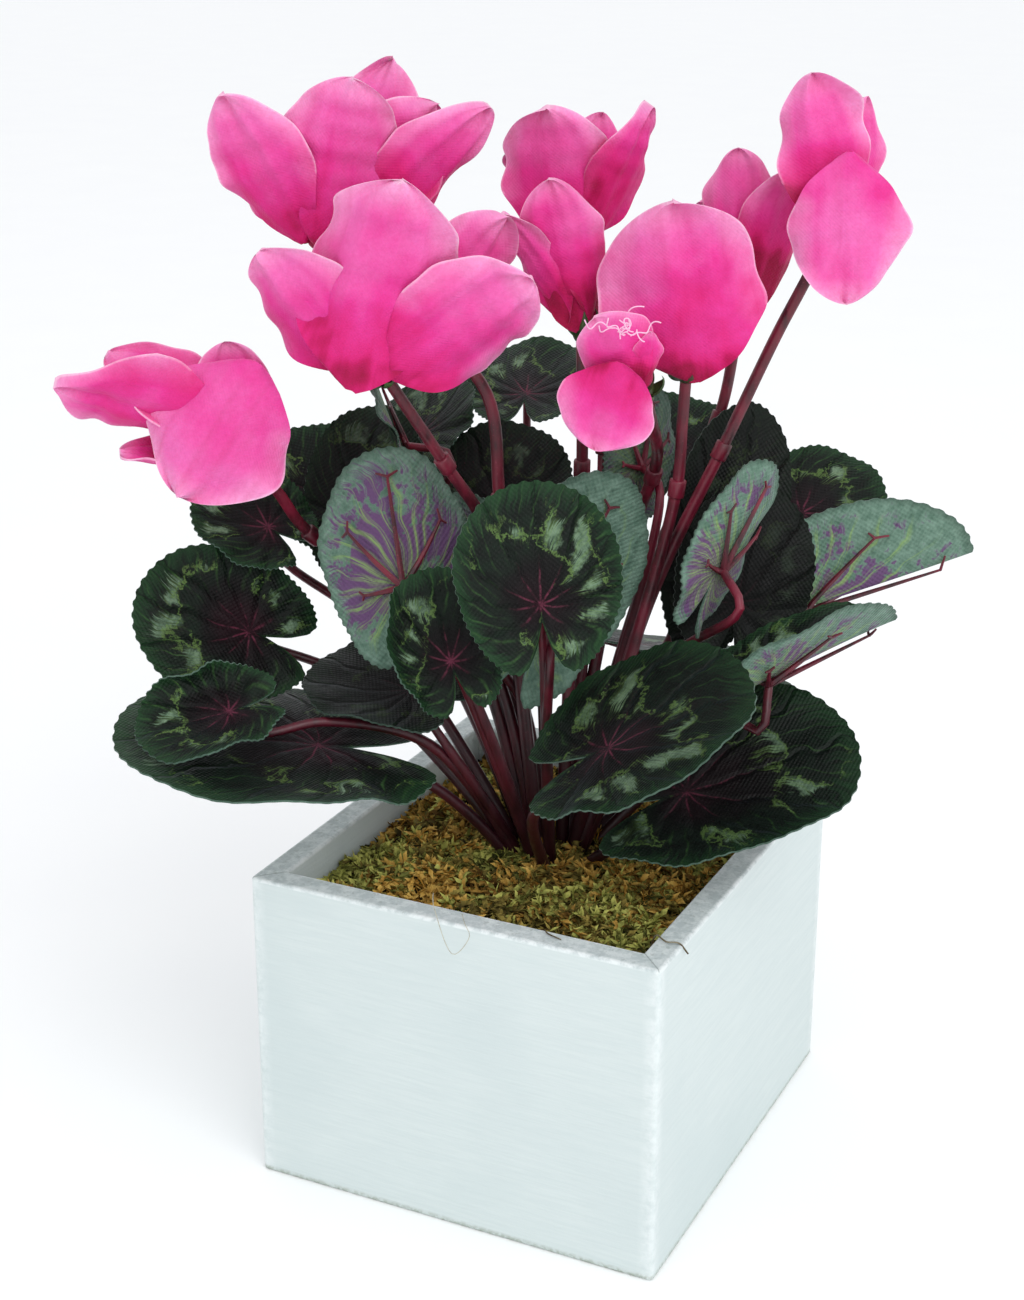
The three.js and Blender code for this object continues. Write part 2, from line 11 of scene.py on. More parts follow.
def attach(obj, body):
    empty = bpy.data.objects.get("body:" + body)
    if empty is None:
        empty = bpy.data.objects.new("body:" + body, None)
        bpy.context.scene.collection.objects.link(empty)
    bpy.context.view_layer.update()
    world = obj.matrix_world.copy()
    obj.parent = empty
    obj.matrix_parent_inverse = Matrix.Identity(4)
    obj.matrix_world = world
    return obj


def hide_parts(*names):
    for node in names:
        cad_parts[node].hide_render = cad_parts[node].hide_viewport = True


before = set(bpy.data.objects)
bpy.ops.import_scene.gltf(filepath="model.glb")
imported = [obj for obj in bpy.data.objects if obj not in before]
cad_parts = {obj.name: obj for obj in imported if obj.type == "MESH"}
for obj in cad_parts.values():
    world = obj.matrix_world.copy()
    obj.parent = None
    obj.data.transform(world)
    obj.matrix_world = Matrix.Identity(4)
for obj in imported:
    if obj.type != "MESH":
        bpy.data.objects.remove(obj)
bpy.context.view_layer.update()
metre = 0.001  # metres in a millimetre
cutUnit = 100  # millimetres in one unit of the UV map of a flat cut

print("frame loaded")


def linearColour(hexText):
    # sRGB to linear: c / 12.92 up to 0.04045, else ((c + 0.055) / 1.055) ** 2.4
    parts = [int(hexText[i:i + 2], 16) / 255 for i in (1, 3, 5)]
    parts = [c / 12.92 if c <= 0.04045 else ((c + 0.055) / 1.055) ** 2.4 for c in parts]
    return (*parts, 1.0)


# what most nodes of a kind are set to here, unless a call says otherwise
usualSettings = {
    "Mix": dict(data_type="RGBA"),
    "Math": dict(operation="MULTIPLY"),
    "VectorMath": dict(operation="MULTIPLY")}


def addNode(tree, kind, *values, output=0, named=(), **settings):
    # One node: its settings, then its open inputs in their order, or by name, as numbers, hex
    # colours or links. None leaves an input as it is. Gives back one output.
    node = tree.nodes.new("ShaderNode" + kind)
    for name, value in {**usualSettings.get(kind, {}), **settings}.items():
        setattr(node, name, value)
    sockets = [socket for socket in node.inputs if socket.enabled]
    pairs = [*zip(sockets, values), *((node.inputs[name], value) for name, value in dict(named).items())]
    for socket, value in pairs:
        if isinstance(value, bpy.types.NodeSocket):
            tree.links.new(value, socket)
        elif isinstance(value, str):
            socket.default_value = linearColour(value)
        elif value is not None:
            socket.default_value = value
    opened = [socket for socket in node.outputs if socket.enabled]
    return opened[output] if opened else node


def newMaterial(name):
    # gives back the material and addNode bound to its tree
    material = bpy.data.materials.new(name)
    material.use_nodes = True
    material.node_tree.nodes.clear()
    return material, partial(addNode, material.node_tree)


def finishMaterial(node, colour, rough, relief, depth, **more):
    # a Principled surface with a bump whose full height is depth millimetres
    bump = node("Bump", named={"Height": relief, "Distance": depth * metre})
    surface = node("BsdfPrincipled", named={"Base Color": colour, "Roughness": rough, "Normal": bump,
                                            **{name.replace("_", " "): value for name,
                                               value in more.items()}})
    node("OutputMaterial", surface)


def meshObject(name, points, faceLists, materials, slots=None, cut=None, facts=(), sharp=50):
    # faceLists: arrays of faces, one for each number of corners; cut: a UV for each point;
    # facts: point attributes; slots: a material number for each face
    mesh = bpy.data.meshes.new(name)
    faceLists = [np.asarray(f, dtype=np.int32) for f in faceLists if len(f)]
    corners = np.concatenate([f.ravel() for f in faceLists])
    counts = np.concatenate([np.full(len(f), f.shape[1]) for f in faceLists])
    mesh.vertices.add(len(points))
    mesh.vertices.foreach_set("co", (np.asarray(points) * metre).astype(np.float32).ravel())
    mesh.loops.add(len(corners))
    mesh.loops.foreach_set("vertex_index", corners)
    mesh.polygons.add(len(counts))
    mesh.polygons.foreach_set("loop_start", (np.cumsum(counts) - counts).astype(np.int32))
    if slots is not None:
        mesh.polygons.foreach_set("material_index", np.asarray(slots, dtype=np.int32))
    if cut is not None:
        layer = mesh.uv_layers.new(name="cut")
        layer.data.foreach_set("uv", np.asarray(cut, dtype=np.float32)[corners].ravel())
    for fact, values in dict(facts).items():
        layer = mesh.attributes.new(fact, "FLOAT", "POINT")
        layer.data.foreach_set("value", np.asarray(values, dtype=np.float32))
    for material in materials:
        mesh.materials.append(material)
    mesh.update(calc_edges=True)
    mesh.validate()
    mesh.shade_smooth()
    mesh.set_sharp_from_angle(angle=math.radians(sharp))
    piece = bpy.data.objects.new(name, mesh)
    bpy.context.scene.collection.objects.link(piece)
    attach(piece, "root")
    return piece


def unit(v):
    # v / |v|
    return v / np.maximum(np.linalg.norm(v, axis=-1, keepdims=True), 1e-9)


def direction(azimuth, elevation):
    # azimuth 0 is -Y and 90 is +X, both in degrees
    a, e = math.radians(azimuth), math.radians(elevation)
    return np.array([math.sin(a) * math.cos(e), -math.cos(a) * math.cos(e), math.sin(e)])


def gridFaces(rows, columns):
    # the quads of a grid of points, and the loop of its border
    index = np.arange(rows * columns).reshape(rows, columns)
    quads = np.stack([index[:-1, :-1], index[1:, :-1], index[1:, 1:], index[:-1, 1:]], -1)
    border = np.concatenate([index[:, 0], index[-1, 1:], index[-2::-1, -1], index[0, -2:0:-1]])
    return quads.reshape(-1, 4), border


def thickSheet(middle, offset):
    # A grid of points moved by offset to one side and to the other, with a rim between.
    quads, border = gridFaces(*middle.shape[:2])
    under = middle.shape[0] * middle.shape[1]
    nextOne = np.roll(border, -1)
    rim = np.stack([border, border + under, nextOne + under, nextOne], -1)
    points = np.concatenate([(middle + offset).reshape(-1, 3), (middle - offset).reshape(-1, 3)])
    return points, [quads, quads[:, ::-1] + under, rim]


def arcEnd(slope, length, steps=8):
    # end of a curve that starts along x and has slope(t) at length t: the mean of its unit steps
    angle = slope(length[..., None] * (np.arange(steps) + 0.5) / steps)
    return length * np.cos(angle).mean(-1), length * np.sin(angle).mean(-1)


def bentSheet(row, root, tip, halfWidth):
    # A flat cut's place (x to the tip, y to the left, in sheet lengths) on the bent sheet:
    # across, the slope is fold + cup * t / halfWidth; along, bend * t + curl * t^3; the chord
    # joins root and tip, and the upper side keeps to face.
    fold, cup = math.radians(row.get("fold", 0)), math.radians(row.get("cup", 0))
    bend, curl = math.radians(row.get("bend", 0)), math.radians(row.get("curl", 0))
    rolls = {1: math.radians(row.get("rollLeft", 0)), -1: math.radians(row.get("rollRight", 0))}

    def along(t):
        return bend * t + curl * t ** 3

    cx, cz = arcEnd(along, np.array(1.0))
    tilt = math.atan2(cz, cx)
    root, tip = np.array(root, float), np.array(tip, float)
    length = np.linalg.norm(tip - root) / math.hypot(cx, cz)
    ahead = unit(tip - root)
    above = direction(*row["face"])
    above = unit(above - ahead * (above @ ahead))
    left = np.cross(above, ahead)

    def point(x, y):
        px, pz = arcEnd(along, np.maximum(x, 0))
        slope = along(np.maximum(x, 0))
        px = px + np.minimum(x, 0)
        side = np.where(y > 0, rolls[1], rolls[-1])

        def across(t):
            extra = np.broadcast_to(side[..., None], t.shape) if t.ndim > side.ndim else side
            return fold + cup * t / halfWidth + extra * np.clip(t / halfWidth - 0.45, 0, 1) * 1.8

        sy, sz = arcEnd(across, np.abs(y))
        sx = px - np.sin(slope) * sz
        sz = pz + np.cos(slope) * sz
        return (root + length * (
            np.multiply.outer(sx * math.cos(tilt) + sz * math.sin(tilt), ahead)
            + np.multiply.outer(np.sign(y) * sy, left)
            + np.multiply.outer(sz * math.cos(tilt) - sx * math.sin(tilt), above)))

    def normal(x, y, d=0.02):
        return unit(np.cross(point(x + d, y) - point(x - d, y), point(x, y + d) - point(x, y - d)))

    return {"point": point, "normal": normal, "length": length, "ahead": ahead, "above": above}


# The planting. at is where the stalk meets a blade or its bloom, start and tip are the ends of
# a blade, face the azimuth and elevation of its upper side (0 is -Y, 90 is +X), wide a stretch
# of its outline; fold, cup, bend, curl and the rolled edges are in degrees; via are points that
# the stalk passes on its way down; dark is painted shade that darkens a whole leaf towards
# near-black, and pale is how thin the print came out.
leafRows = {
    "leaf_01": dict(at=(-78, -33, 150), tip=(-103, -51, 162), face=(5, 35), wide=0.95, cup=20, bend=-10,
                    via=[(-58, -9, 130)]),
    "leaf_02": dict(at=(-63, -67, 141), tip=(-82, -83, 136), face=(0, 58), wide=0.95, cup=25,
                    via=[(-47, -45, 133), (-26, -24, 122)], rollRight=75),
    "leaf_03": dict(at=(-49, -46, 126), tip=(-90, -82, 133), face=(-10, 76), wide=0.95, fold=5, cup=-15,
                    bend=-10, via=[(-30, -27, 113)], rollLeft=30),
    "leaf_04": dict(at=(-31, -29, 169), tip=(-42, -19, 204), face=(215, 15), wide=0.85, fold=10, cup=25,
                    lead=6, via=[(-14, -29, 148)]),
    "leaf_05": dict(at=(-60, -1, 178), tip=(-63, 18, 205), face=(20, 50), wide=0.75, cup=15,
                    via=[(-37, 9, 132)], dark=0.6),
    "leaf_06": dict(at=(-74, 4, 179), tip=(-93, 11, 195), face=(10, 55), wide=1, cup=10,
                    via=[(-40, 10, 134)]),
    "leaf_07": dict(at=(-78, -21, 177), tip=(-98, -24, 188), face=(0, 60), wide=1, cup=10,
                    via=[(-54, 0, 142)]),
    "leaf_08": dict(at=(-31, -26, 138), tip=(-63, -18, 140), face=(-30, 72), wide=1, cup=25, dark=0.75),
    "leaf_09": dict(at=(-45, -3, 199), tip=(-58, 4, 216), face=(285, 10), wide=0.9, cup=10,
                    via=[(-38, -3, 170), (-15, -3, 135)]),
    "leaf_10": dict(at=(-12, -38, 154), tip=(-22, -34, 177), face=(20, 20), wide=0.95, cup=30,
                    rollLeft=40),
    "leaf_11": dict(at=(13, -36, 173), tip=(6, -28, 203), face=(26, 15), wide=1, cup=15),
    "leaf_12": dict(at=(5, -15, 161), tip=(19, 3, 198), face=(220, 8), wide=0.7, cup=10,
                    via=[(6, -17, 128)], pale=0.8),
    "leaf_13": dict(at=(-24, 2, 160), tip=(-39, 8, 183), face=(200, 35), wide=1, cup=10,
                    via=[(-9, 0, 128)], pale=0.2),
    "leaf_14": dict(at=(-25, 19, 179), tip=(-31, 34, 200), face=(20, 45), wide=1.1, cup=10, dark=0.7),
    "leaf_15": dict(at=(-33, 51, 204), tip=(-41, 76, 214), face=(200, 45), wide=1, cup=10,
                    via=[(-16, 24, 151)]),
    "leaf_16": dict(at=(-53, 23, 196), tip=(-58, 43, 208), face=(200, 45), wide=1, cup=10, dark=0.3),
    "leaf_17": dict(at=(12, 30, 192), tip=(11, 42, 213), face=(225, 20), wide=0.75, cup=15, dark=0.5),
    "leaf_18": dict(at=(9, 64, 184), tip=(2, 83, 201), face=(26, 50), wide=1, cup=10,
                    via=[(8, 34, 132)]),
    "leaf_19": dict(at=(35, 32, 168), tip=(39, 48, 210), face=(40, 20), wide=0.55, cup=15, dark=0.85),
    "leaf_20": dict(at=(46, 4, 175), tip=(54, 22, 201), face=(250, 10), wide=0.62, cup=25,
                    via=[(30, 8, 144)]),
    "leaf_21": dict(at=(45, 23, 160), tip=(46, 37, 190), face=(30, 20), wide=0.85, cup=10, lead=7,
                    via=[(31, 15, 140)], dark=0.9),
    "leaf_22": dict(at=(47, 69, 173), tip=(62, 89, 183), face=(40, 55), wide=1, cup=10,
                    via=[(20, 46, 138)]),
    "leaf_23": dict(at=(54, 54, 150), tip=(94, 88, 162), face=(225, 40), wide=0.72, fold=35, cup=10),
    "leaf_24": dict(at=(62, 0, 148), tip=(88, 28, 161), face=(212, 70), wide=0.72, fold=25, cup=15,
                    via=[(29, 8, 147)]),
    "leaf_25": dict(at=(33, -37, 137), tip=(68, -26, 156), face=(26, 74), wide=1.05, cup=15,
                    via=[(8, -28, 110)], dark=0.25),
    "leaf_26": dict(at=(46, -14, 118), tip=(85, 10, 131), face=(26, 58), wide=0.85, cup=30, dark=0.3),
    "leaf_27": dict(at=(-42, 40, 150), tip=(-68, 64, 142), face=(225, 60), wide=0.85, cup=10,
                    via=[(-20, 18, 118)]),
    "leaf_28": dict(at=(2, 60, 128), tip=(2, 92, 118), face=(180, 60), wide=1, cup=10),
    "leaf_29": dict(at=(34, 54, 122), tip=(46, 80, 113), face=(150, 60), wide=1, cup=10),
}

bloomRows = {
    "bloom_1": dict(
        seed=41,
        at=(-67, -48, 207), via=[(-63, -22, 177), (-28, -6, 154)], sleeve=0,
        petals=[
            dict(start=(-58, -53, 232), tip=(-74, -69, 199), face=(200, -5), wide=1.04, cup=40,
                 tone=0.35, free=0.35, wavy=1.3),
            dict(start=(-67, -51, 211), tip=(-103, -79, 227), face=(200, 35), wide=0.73, cup=45,
                 tone=0.6, point=0.45),
            dict(start=(-69, -46, 209), tip=(-100, -60, 232), face=(60, 50), wide=0.67, cup=30,
                 tone=0.7),
            dict(start=(-68, -46, 209), tip=(-75, -43, 234), face=(40, 10), wide=0.85, cup=35,
                 tone=0.8),
            dict(start=(-68, -49, 206), tip=(-95, -64, 207), face=(20, 70), wide=0.55, cup=30,
                 tone=0.9),
        ]),
    "bloom_2": dict(
        seed=44,
        at=(-55, -27, 260), via=[(-19, -4, 219), (-14, -5, 190), (-10, -5, 157)], sleeve=1,
        petals=[
            dict(start=(-57, -31, 259), tip=(-72, -44, 297), face=(190, 10), wide=0.61, cup=30,
                 tone=0.2),
            dict(start=(-52, -30, 257), tip=(-42, -30, 301), face=(212, 5), wide=0.81, cup=45,
                 tone=0.3),
            dict(start=(-52, -23, 260), tip=(-46, -2, 303), face=(26, 15), wide=0.51, cup=30,
                 tone=0.35),
            dict(start=(-49, -24, 261), tip=(-31, -6, 293), face=(50, 10), wide=0.67, cup=35, tone=0.9,
                 wavy=1.8),
            dict(start=(-46, -25, 261), tip=(-16, -6, 293), face=(240, 0), wide=0.51, cup=35,
                 tone=0.55, point=0.3),
            dict(start=(-61, -26, 262), tip=(-79, -14, 284), face=(0, 15), wide=0.73, cup=30, tone=0.5),
        ]),
    "bloom_3": dict(
        seed=59,
        at=(-32, -40, 233), via=[(-22, -20, 201), (-16, -9, 182), (-10, -6, 156)], sleeve=0,
        petals=[
            dict(start=(-36, -46, 226), tip=(-21, -44, 279), face=(203, 5), wide=0.81, cup=55,
                 tone=0.4),
            dict(start=(-37, -43, 230), tip=(-56, -54, 261), face=(180, 0), wide=0.76, cup=30,
                 tone=0.25),
            dict(start=(-27, -41, 229), tip=(6, -26, 254), face=(232, 5), wide=0.81, cup=35, tone=0.35),
            dict(start=(-28, -36, 232), tip=(-8, -13, 267), face=(225, 10), wide=0.61, cup=30,
                 tone=0.6),
            dict(start=(-34, -38, 235), tip=(-35, -19, 263), face=(30, 20), wide=0.85, cup=30,
                 tone=0.8),
        ]),
    "bloom_4": dict(
        seed=45,
        at=(-6, 26, 260), via=[(2, 28, 197), (4, 15, 157)], sleeve=0,
        petals=[
            dict(start=(-8, 21, 256), tip=(-10, 15, 291), face=(200, 5), wide=0.92, cup=40, tone=0.45,
                 wavy=1.4),
            dict(start=(-1, 25, 255), tip=(14, 29, 291), face=(240, 0), wide=0.51, cup=45, tone=0.65,
                 point=0.55),
            dict(start=(-5, 29, 259), tip=(-5, 40, 287), face=(215, 0), wide=0.67, cup=35, tone=0.55),
            dict(start=(-11, 26, 259), tip=(-24, 21, 278), face=(150, 0), wide=0.73, cup=30, tone=0.5),
            dict(start=(-8, 28, 261), tip=(-16, 46, 284), face=(26, 20), wide=0.92, cup=30, tone=0.7),
        ]),
    "bloom_5": dict(
        seed=9,
        at=(7, 1, 241), via=[(4, 9, 196), (3, 5, 145)], sleeve=0, sepal=1.6, sepalLean=50,
        petals=[
            dict(start=(8, -2, 237), tip=(1, -7, 276), face=(205, 5), wide=0.61, cup=60, tone=0.75),
            dict(start=(5, -2, 239), tip=(-11, -10, 267), face=(170, 5), wide=0.46, cup=45, tone=0.45),
            dict(start=(10, 1, 239), tip=(9, 2, 267), face=(250, 5), wide=0.51, cup=50, tone=0.8),
            dict(start=(4, 3, 241), tip=(-7, 8, 269), face=(26, 5), wide=0.61, cup=50, tone=0.6),
        ]),
    "bloom_6": dict(
        seed=10,
        at=(31, -16, 230), via=[(29, 0, 210), (21, 19, 195), (10, 17, 161)], sleeve=1, sepal=1.4,
        sepalLean=70,
        petals=[
            dict(start=(29, -24, 235), tip=(24, -28, 213), face=(206, -10), wide=1.15, cup=35,
                 tone=0.7, free=0.35),
            dict(start=(32, -19, 229), tip=(22, -25, 246), face=(200, 0), wide=1.04, cup=35, tone=0.55),
            dict(start=(33, -18, 228), tip=(34, -17, 242), face=(235, 0), wide=0.61, cup=40, tone=0.8),
            dict(start=(29, -14, 230), tip=(17, -10, 235), face=(26, 30), wide=1.10, cup=30, tone=0.8),
        ]),
    "bloom_7": dict(
        seed=22,
        at=(35, 6, 232), via=[(31, 11, 194), (24, 5, 157)], sleeve=0,
        petals=[
            dict(start=(38, 3, 225), tip=(33, -2, 272), face=(206, 8), wide=0.95, cup=35, tone=0.4,
                 wavy=1.3),
            dict(start=(31, 6, 232), tip=(18, -2, 255), face=(160, 0), wide=0.67, cup=30, tone=0.6),
            dict(start=(38, 6, 231), tip=(41, 16, 255), face=(240, 10), wide=0.73, cup=30, tone=0.5),
            dict(start=(33, 8, 233), tip=(28, 23, 262), face=(26, 10), wide=0.85, cup=30, tone=0.7),
        ]),
    "bloom_8": dict(
        seed=2,
        at=(38, 43, 247), via=[(30, 44, 206), (17, 22, 160)], sleeve=0,
        petals=[
            dict(start=(37, 40, 245), tip=(34, 41, 280), face=(195, 5), wide=0.61, cup=40, tone=0.5),
            dict(start=(41, 40, 239), tip=(50, 42, 276), face=(226, 0), wide=0.61, cup=50, tone=0.85),
            dict(start=(35, 44, 248), tip=(23, 42, 265), face=(160, 0), wide=0.67, cup=30, tone=0.6),
            dict(start=(38, 46, 248), tip=(36, 64, 266), face=(40, 20), wide=0.73, cup=30, tone=0.7),
        ]),
    "bloom_9": dict(
        seed=1,
        at=(64, 34, 263), via=[(52, 27, 235), (40, 21, 204), (25, 8, 162)], sleeve=1,
        petals=[
            dict(start=(66, 32, 262), tip=(56, 32, 301), face=(206, 5), wide=0.63, cup=30, tone=0.35,
                 wavy=1.6),
            dict(start=(68, 31, 282), tip=(70, 27, 244), face=(206, 10), wide=0.81, cup=30, tone=0.35,
                 free=0.5, wavy=1.5),
            dict(start=(67, 36, 263), tip=(66, 48, 294), face=(230, 0), wide=0.55, cup=30, tone=0.4,
                 point=0.4),
            dict(start=(62, 36, 264), tip=(51, 45, 280), face=(26, 10), wide=0.85, cup=35, tone=0.6),
        ]),
}


# Leaves: die-cut cloth, printed, and pressed over a heated mould.
leafCut = dict(thick=0.5, scallops=58, perScallop=4, rings=15, scallopDepth=1.15, lobe=0.66,
               ruffle=0.9, ruffleWaves=5, seed=11)


def leafReach(angle):
    # r = (0.74 + 0.18 cos a + 0.08 cos 2a) * (1 - 0.75 exp(-((pi - |a|) / 0.22)^2))
    notch = (math.pi - np.abs(angle)) / 0.22
    body = 0.74 + 0.18 * np.cos(angle) + 0.08 * np.cos(2 * angle)
    return body * (1 - 0.75 * np.exp(-notch ** 2))


def leafPlace(row, angle, ring):
    # a point of the flat cut: r cos a, r sin a * wide
    reach = leafReach(angle) * ring
    return reach * np.cos(angle), reach * np.sin(angle) * row["wide"]


def leafSheetOf(row):
    # the bent sheet that a leaf is cut from, as wide as its lobes
    return bentSheet(row, row["at"], row["tip"], leafCut["lobe"] * row["wide"])


def makeLeaf(name, row, draw):
    # Rings of points round the stalk, closer together at the rim; the rim itself is a row of
    # small round teeth, |sin|^0.6 in the angle, and the sheet ripples towards it.
    sheet = leafSheetOf(row)
    count = leafCut["scallops"] * leafCut["perScallop"]
    rings = leafCut["rings"]
    angle = (np.arange(count) + 0.5) / count * 2 * math.pi - math.pi
    share = 1 - (1 - np.arange(1, rings + 1) / rings) ** 1.35
    ringGrid, angleGrid = np.meshgrid(share, angle, indexing="ij")
    tooth = np.abs(np.sin(angle * leafCut["scallops"] / 2)) ** 0.6 - 1
    x, y = leafPlace(row, angleGrid, ringGrid)
    size = np.hypot(x, y)
    grow = 1 + (leafCut["scallopDepth"] / sheet["length"] * tooth / size) * (ringGrid ** 40)
    x, y = x * grow, y * grow
    phase = draw.uniform(0, 2 * math.pi, 3)
    ripple = leafCut["ruffle"] * ringGrid ** 3 * (
        np.sin(leafCut["ruffleWaves"] * angleGrid + phase[0])
        + 0.6 * np.sin(9 * angleGrid + phase[1])) * np.minimum(1, (math.pi - np.abs(angleGrid)) * 2)
    pucker = 0.22 * ringGrid * np.cos(angleGrid * 10) * np.sin(ringGrid * 2.6)
    x, y, lift = [np.concatenate([[0.0], part.ravel()]) for part in (x, y, ripple + pucker)]
    normal = sheet["normal"](x, y)
    middle = sheet["point"](x, y) + normal * lift[:, None]
    half = leafCut["thick"] / 2
    points = np.concatenate([middle + normal * half, middle - normal * half])
    under = len(x)
    around = np.arange(count)
    following = (around + 1) % count
    start = 1 + np.arange(rings - 1)[:, None] * count
    quads = np.stack([start + around, start + around + count, start + following + count,
                      start + following], -1).reshape(-1, 4)
    fan = np.stack([np.zeros(count, int), 1 + around, 1 + following], -1)
    rim = 1 + (rings - 1) * count
    edge = np.stack([rim + around, rim + under + around, rim + under + following,
                     rim + following], -1)
    cut = np.stack([x, y], -1) * sheet["length"] / cutUnit
    ring = np.concatenate([[0.0], ringGrid.ravel()])
    slots = np.concatenate([np.zeros(len(fan)), np.ones(len(fan)), np.zeros(len(quads)),
                            np.ones(len(quads)), np.ones(count)])
    shift = draw.uniform(0, 40)
    piece = meshObject(
        name + "_cloth", points, [fan, fan[:, ::-1] + under, quads, quads[:, ::-1] + under, edge],
        [leafTop, leafUnder], slots, np.tile(cut, (2, 1)),
        {"reach": np.tile(ring, 2), "shift": np.full(2 * under, shift),
         # the leaf's dark value is painted shade over the whole leaf
         "paintedLeafShade": np.full(2 * under, row.get("dark", 0.0)),
         "pale": np.full(2 * under, row.get("pale", 0.0))})
    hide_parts(name)


def leafPattern(node):
    # What both prints share: the place on the cut, and the distance in mm to the nearest vein and
    # twig. Veins leave the stalk every 36 degrees and bend to the tip: a + 0.5 sin(a) * reach.
    # Streaks are noise that is drawn out along the veins.
    cut = node("UVMap", uv_map="cut")
    reach = node("Attribute", output=2, attribute_name="reach")
    shift = node("Attribute", output=2, attribute_name="shift")
    offset = node("CombineXYZ", None, None, shift)
    place = node("VectorMath", cut, 3 * (cutUnit * metre,))
    field = node("VectorMath", place, offset, operation="ADD")
    wobble = node("TexNoise", field, 75.0, 2.0, 0.5)
    fine = node("TexNoise", field, 320.0, 4.0, 0.65)
    blotch = node("TexNoise", field, 55.0, 1.0, 0.5)
    across = node("SeparateXYZ", cut, output=0)
    along = node("SeparateXYZ", cut, output=1)
    angle = node("Math", along, across, operation="ARCTAN2")
    far = node("VectorMath", cut, output=0, operation="LENGTH")
    farMm = node("Math", far, cutUnit)
    bow = node("Math", node("Math", angle, operation="SINE"), reach)
    bent = node("Math", bow, 0.5, angle, operation="MULTIPLY_ADD")
    bent = node("Math", wobble, 0.55, node("Math", bent, -0.275, operation="ADD"),
                operation="MULTIPLY_ADD")
    apart = node("Math", bent, math.radians(18), operation="PINGPONG")
    veinMm = node("Math", apart, farMm)
    skew = node("Math", reach, 1.4, node("Math", bent, 2.0), operation="MULTIPLY_ADD")
    twig = node("Math", skew, math.radians(16), operation="PINGPONG")
    twigMm = node("Math", twig, node("Math", farMm, 0.5))
    polar = node("CombineXYZ", node("Math", skew, 9.0), node("Math", reach, 1.6), shift)
    streak = node("TexNoise", polar, 1.7, 3.0, 0.6)
    return dict(cut=cut, reach=reach, wobble=wobble, fine=fine, blotch=blotch, veinMm=veinMm,
                twigMm=twigMm, streak=streak)


def weave(node, cut, pitch):
    # threads crossing at right angles, pitch in mm: sin(x) sin(y) on the flat cut
    turns = cutUnit / pitch * math.pi
    scaled = node("VectorMath", cut, (turns, turns, 0))
    waves = node("VectorMath", scaled, operation="SINE")
    warp = node("SeparateXYZ", waves, output=0)
    return node("Math", warp, node("SeparateXYZ", waves, output=1))


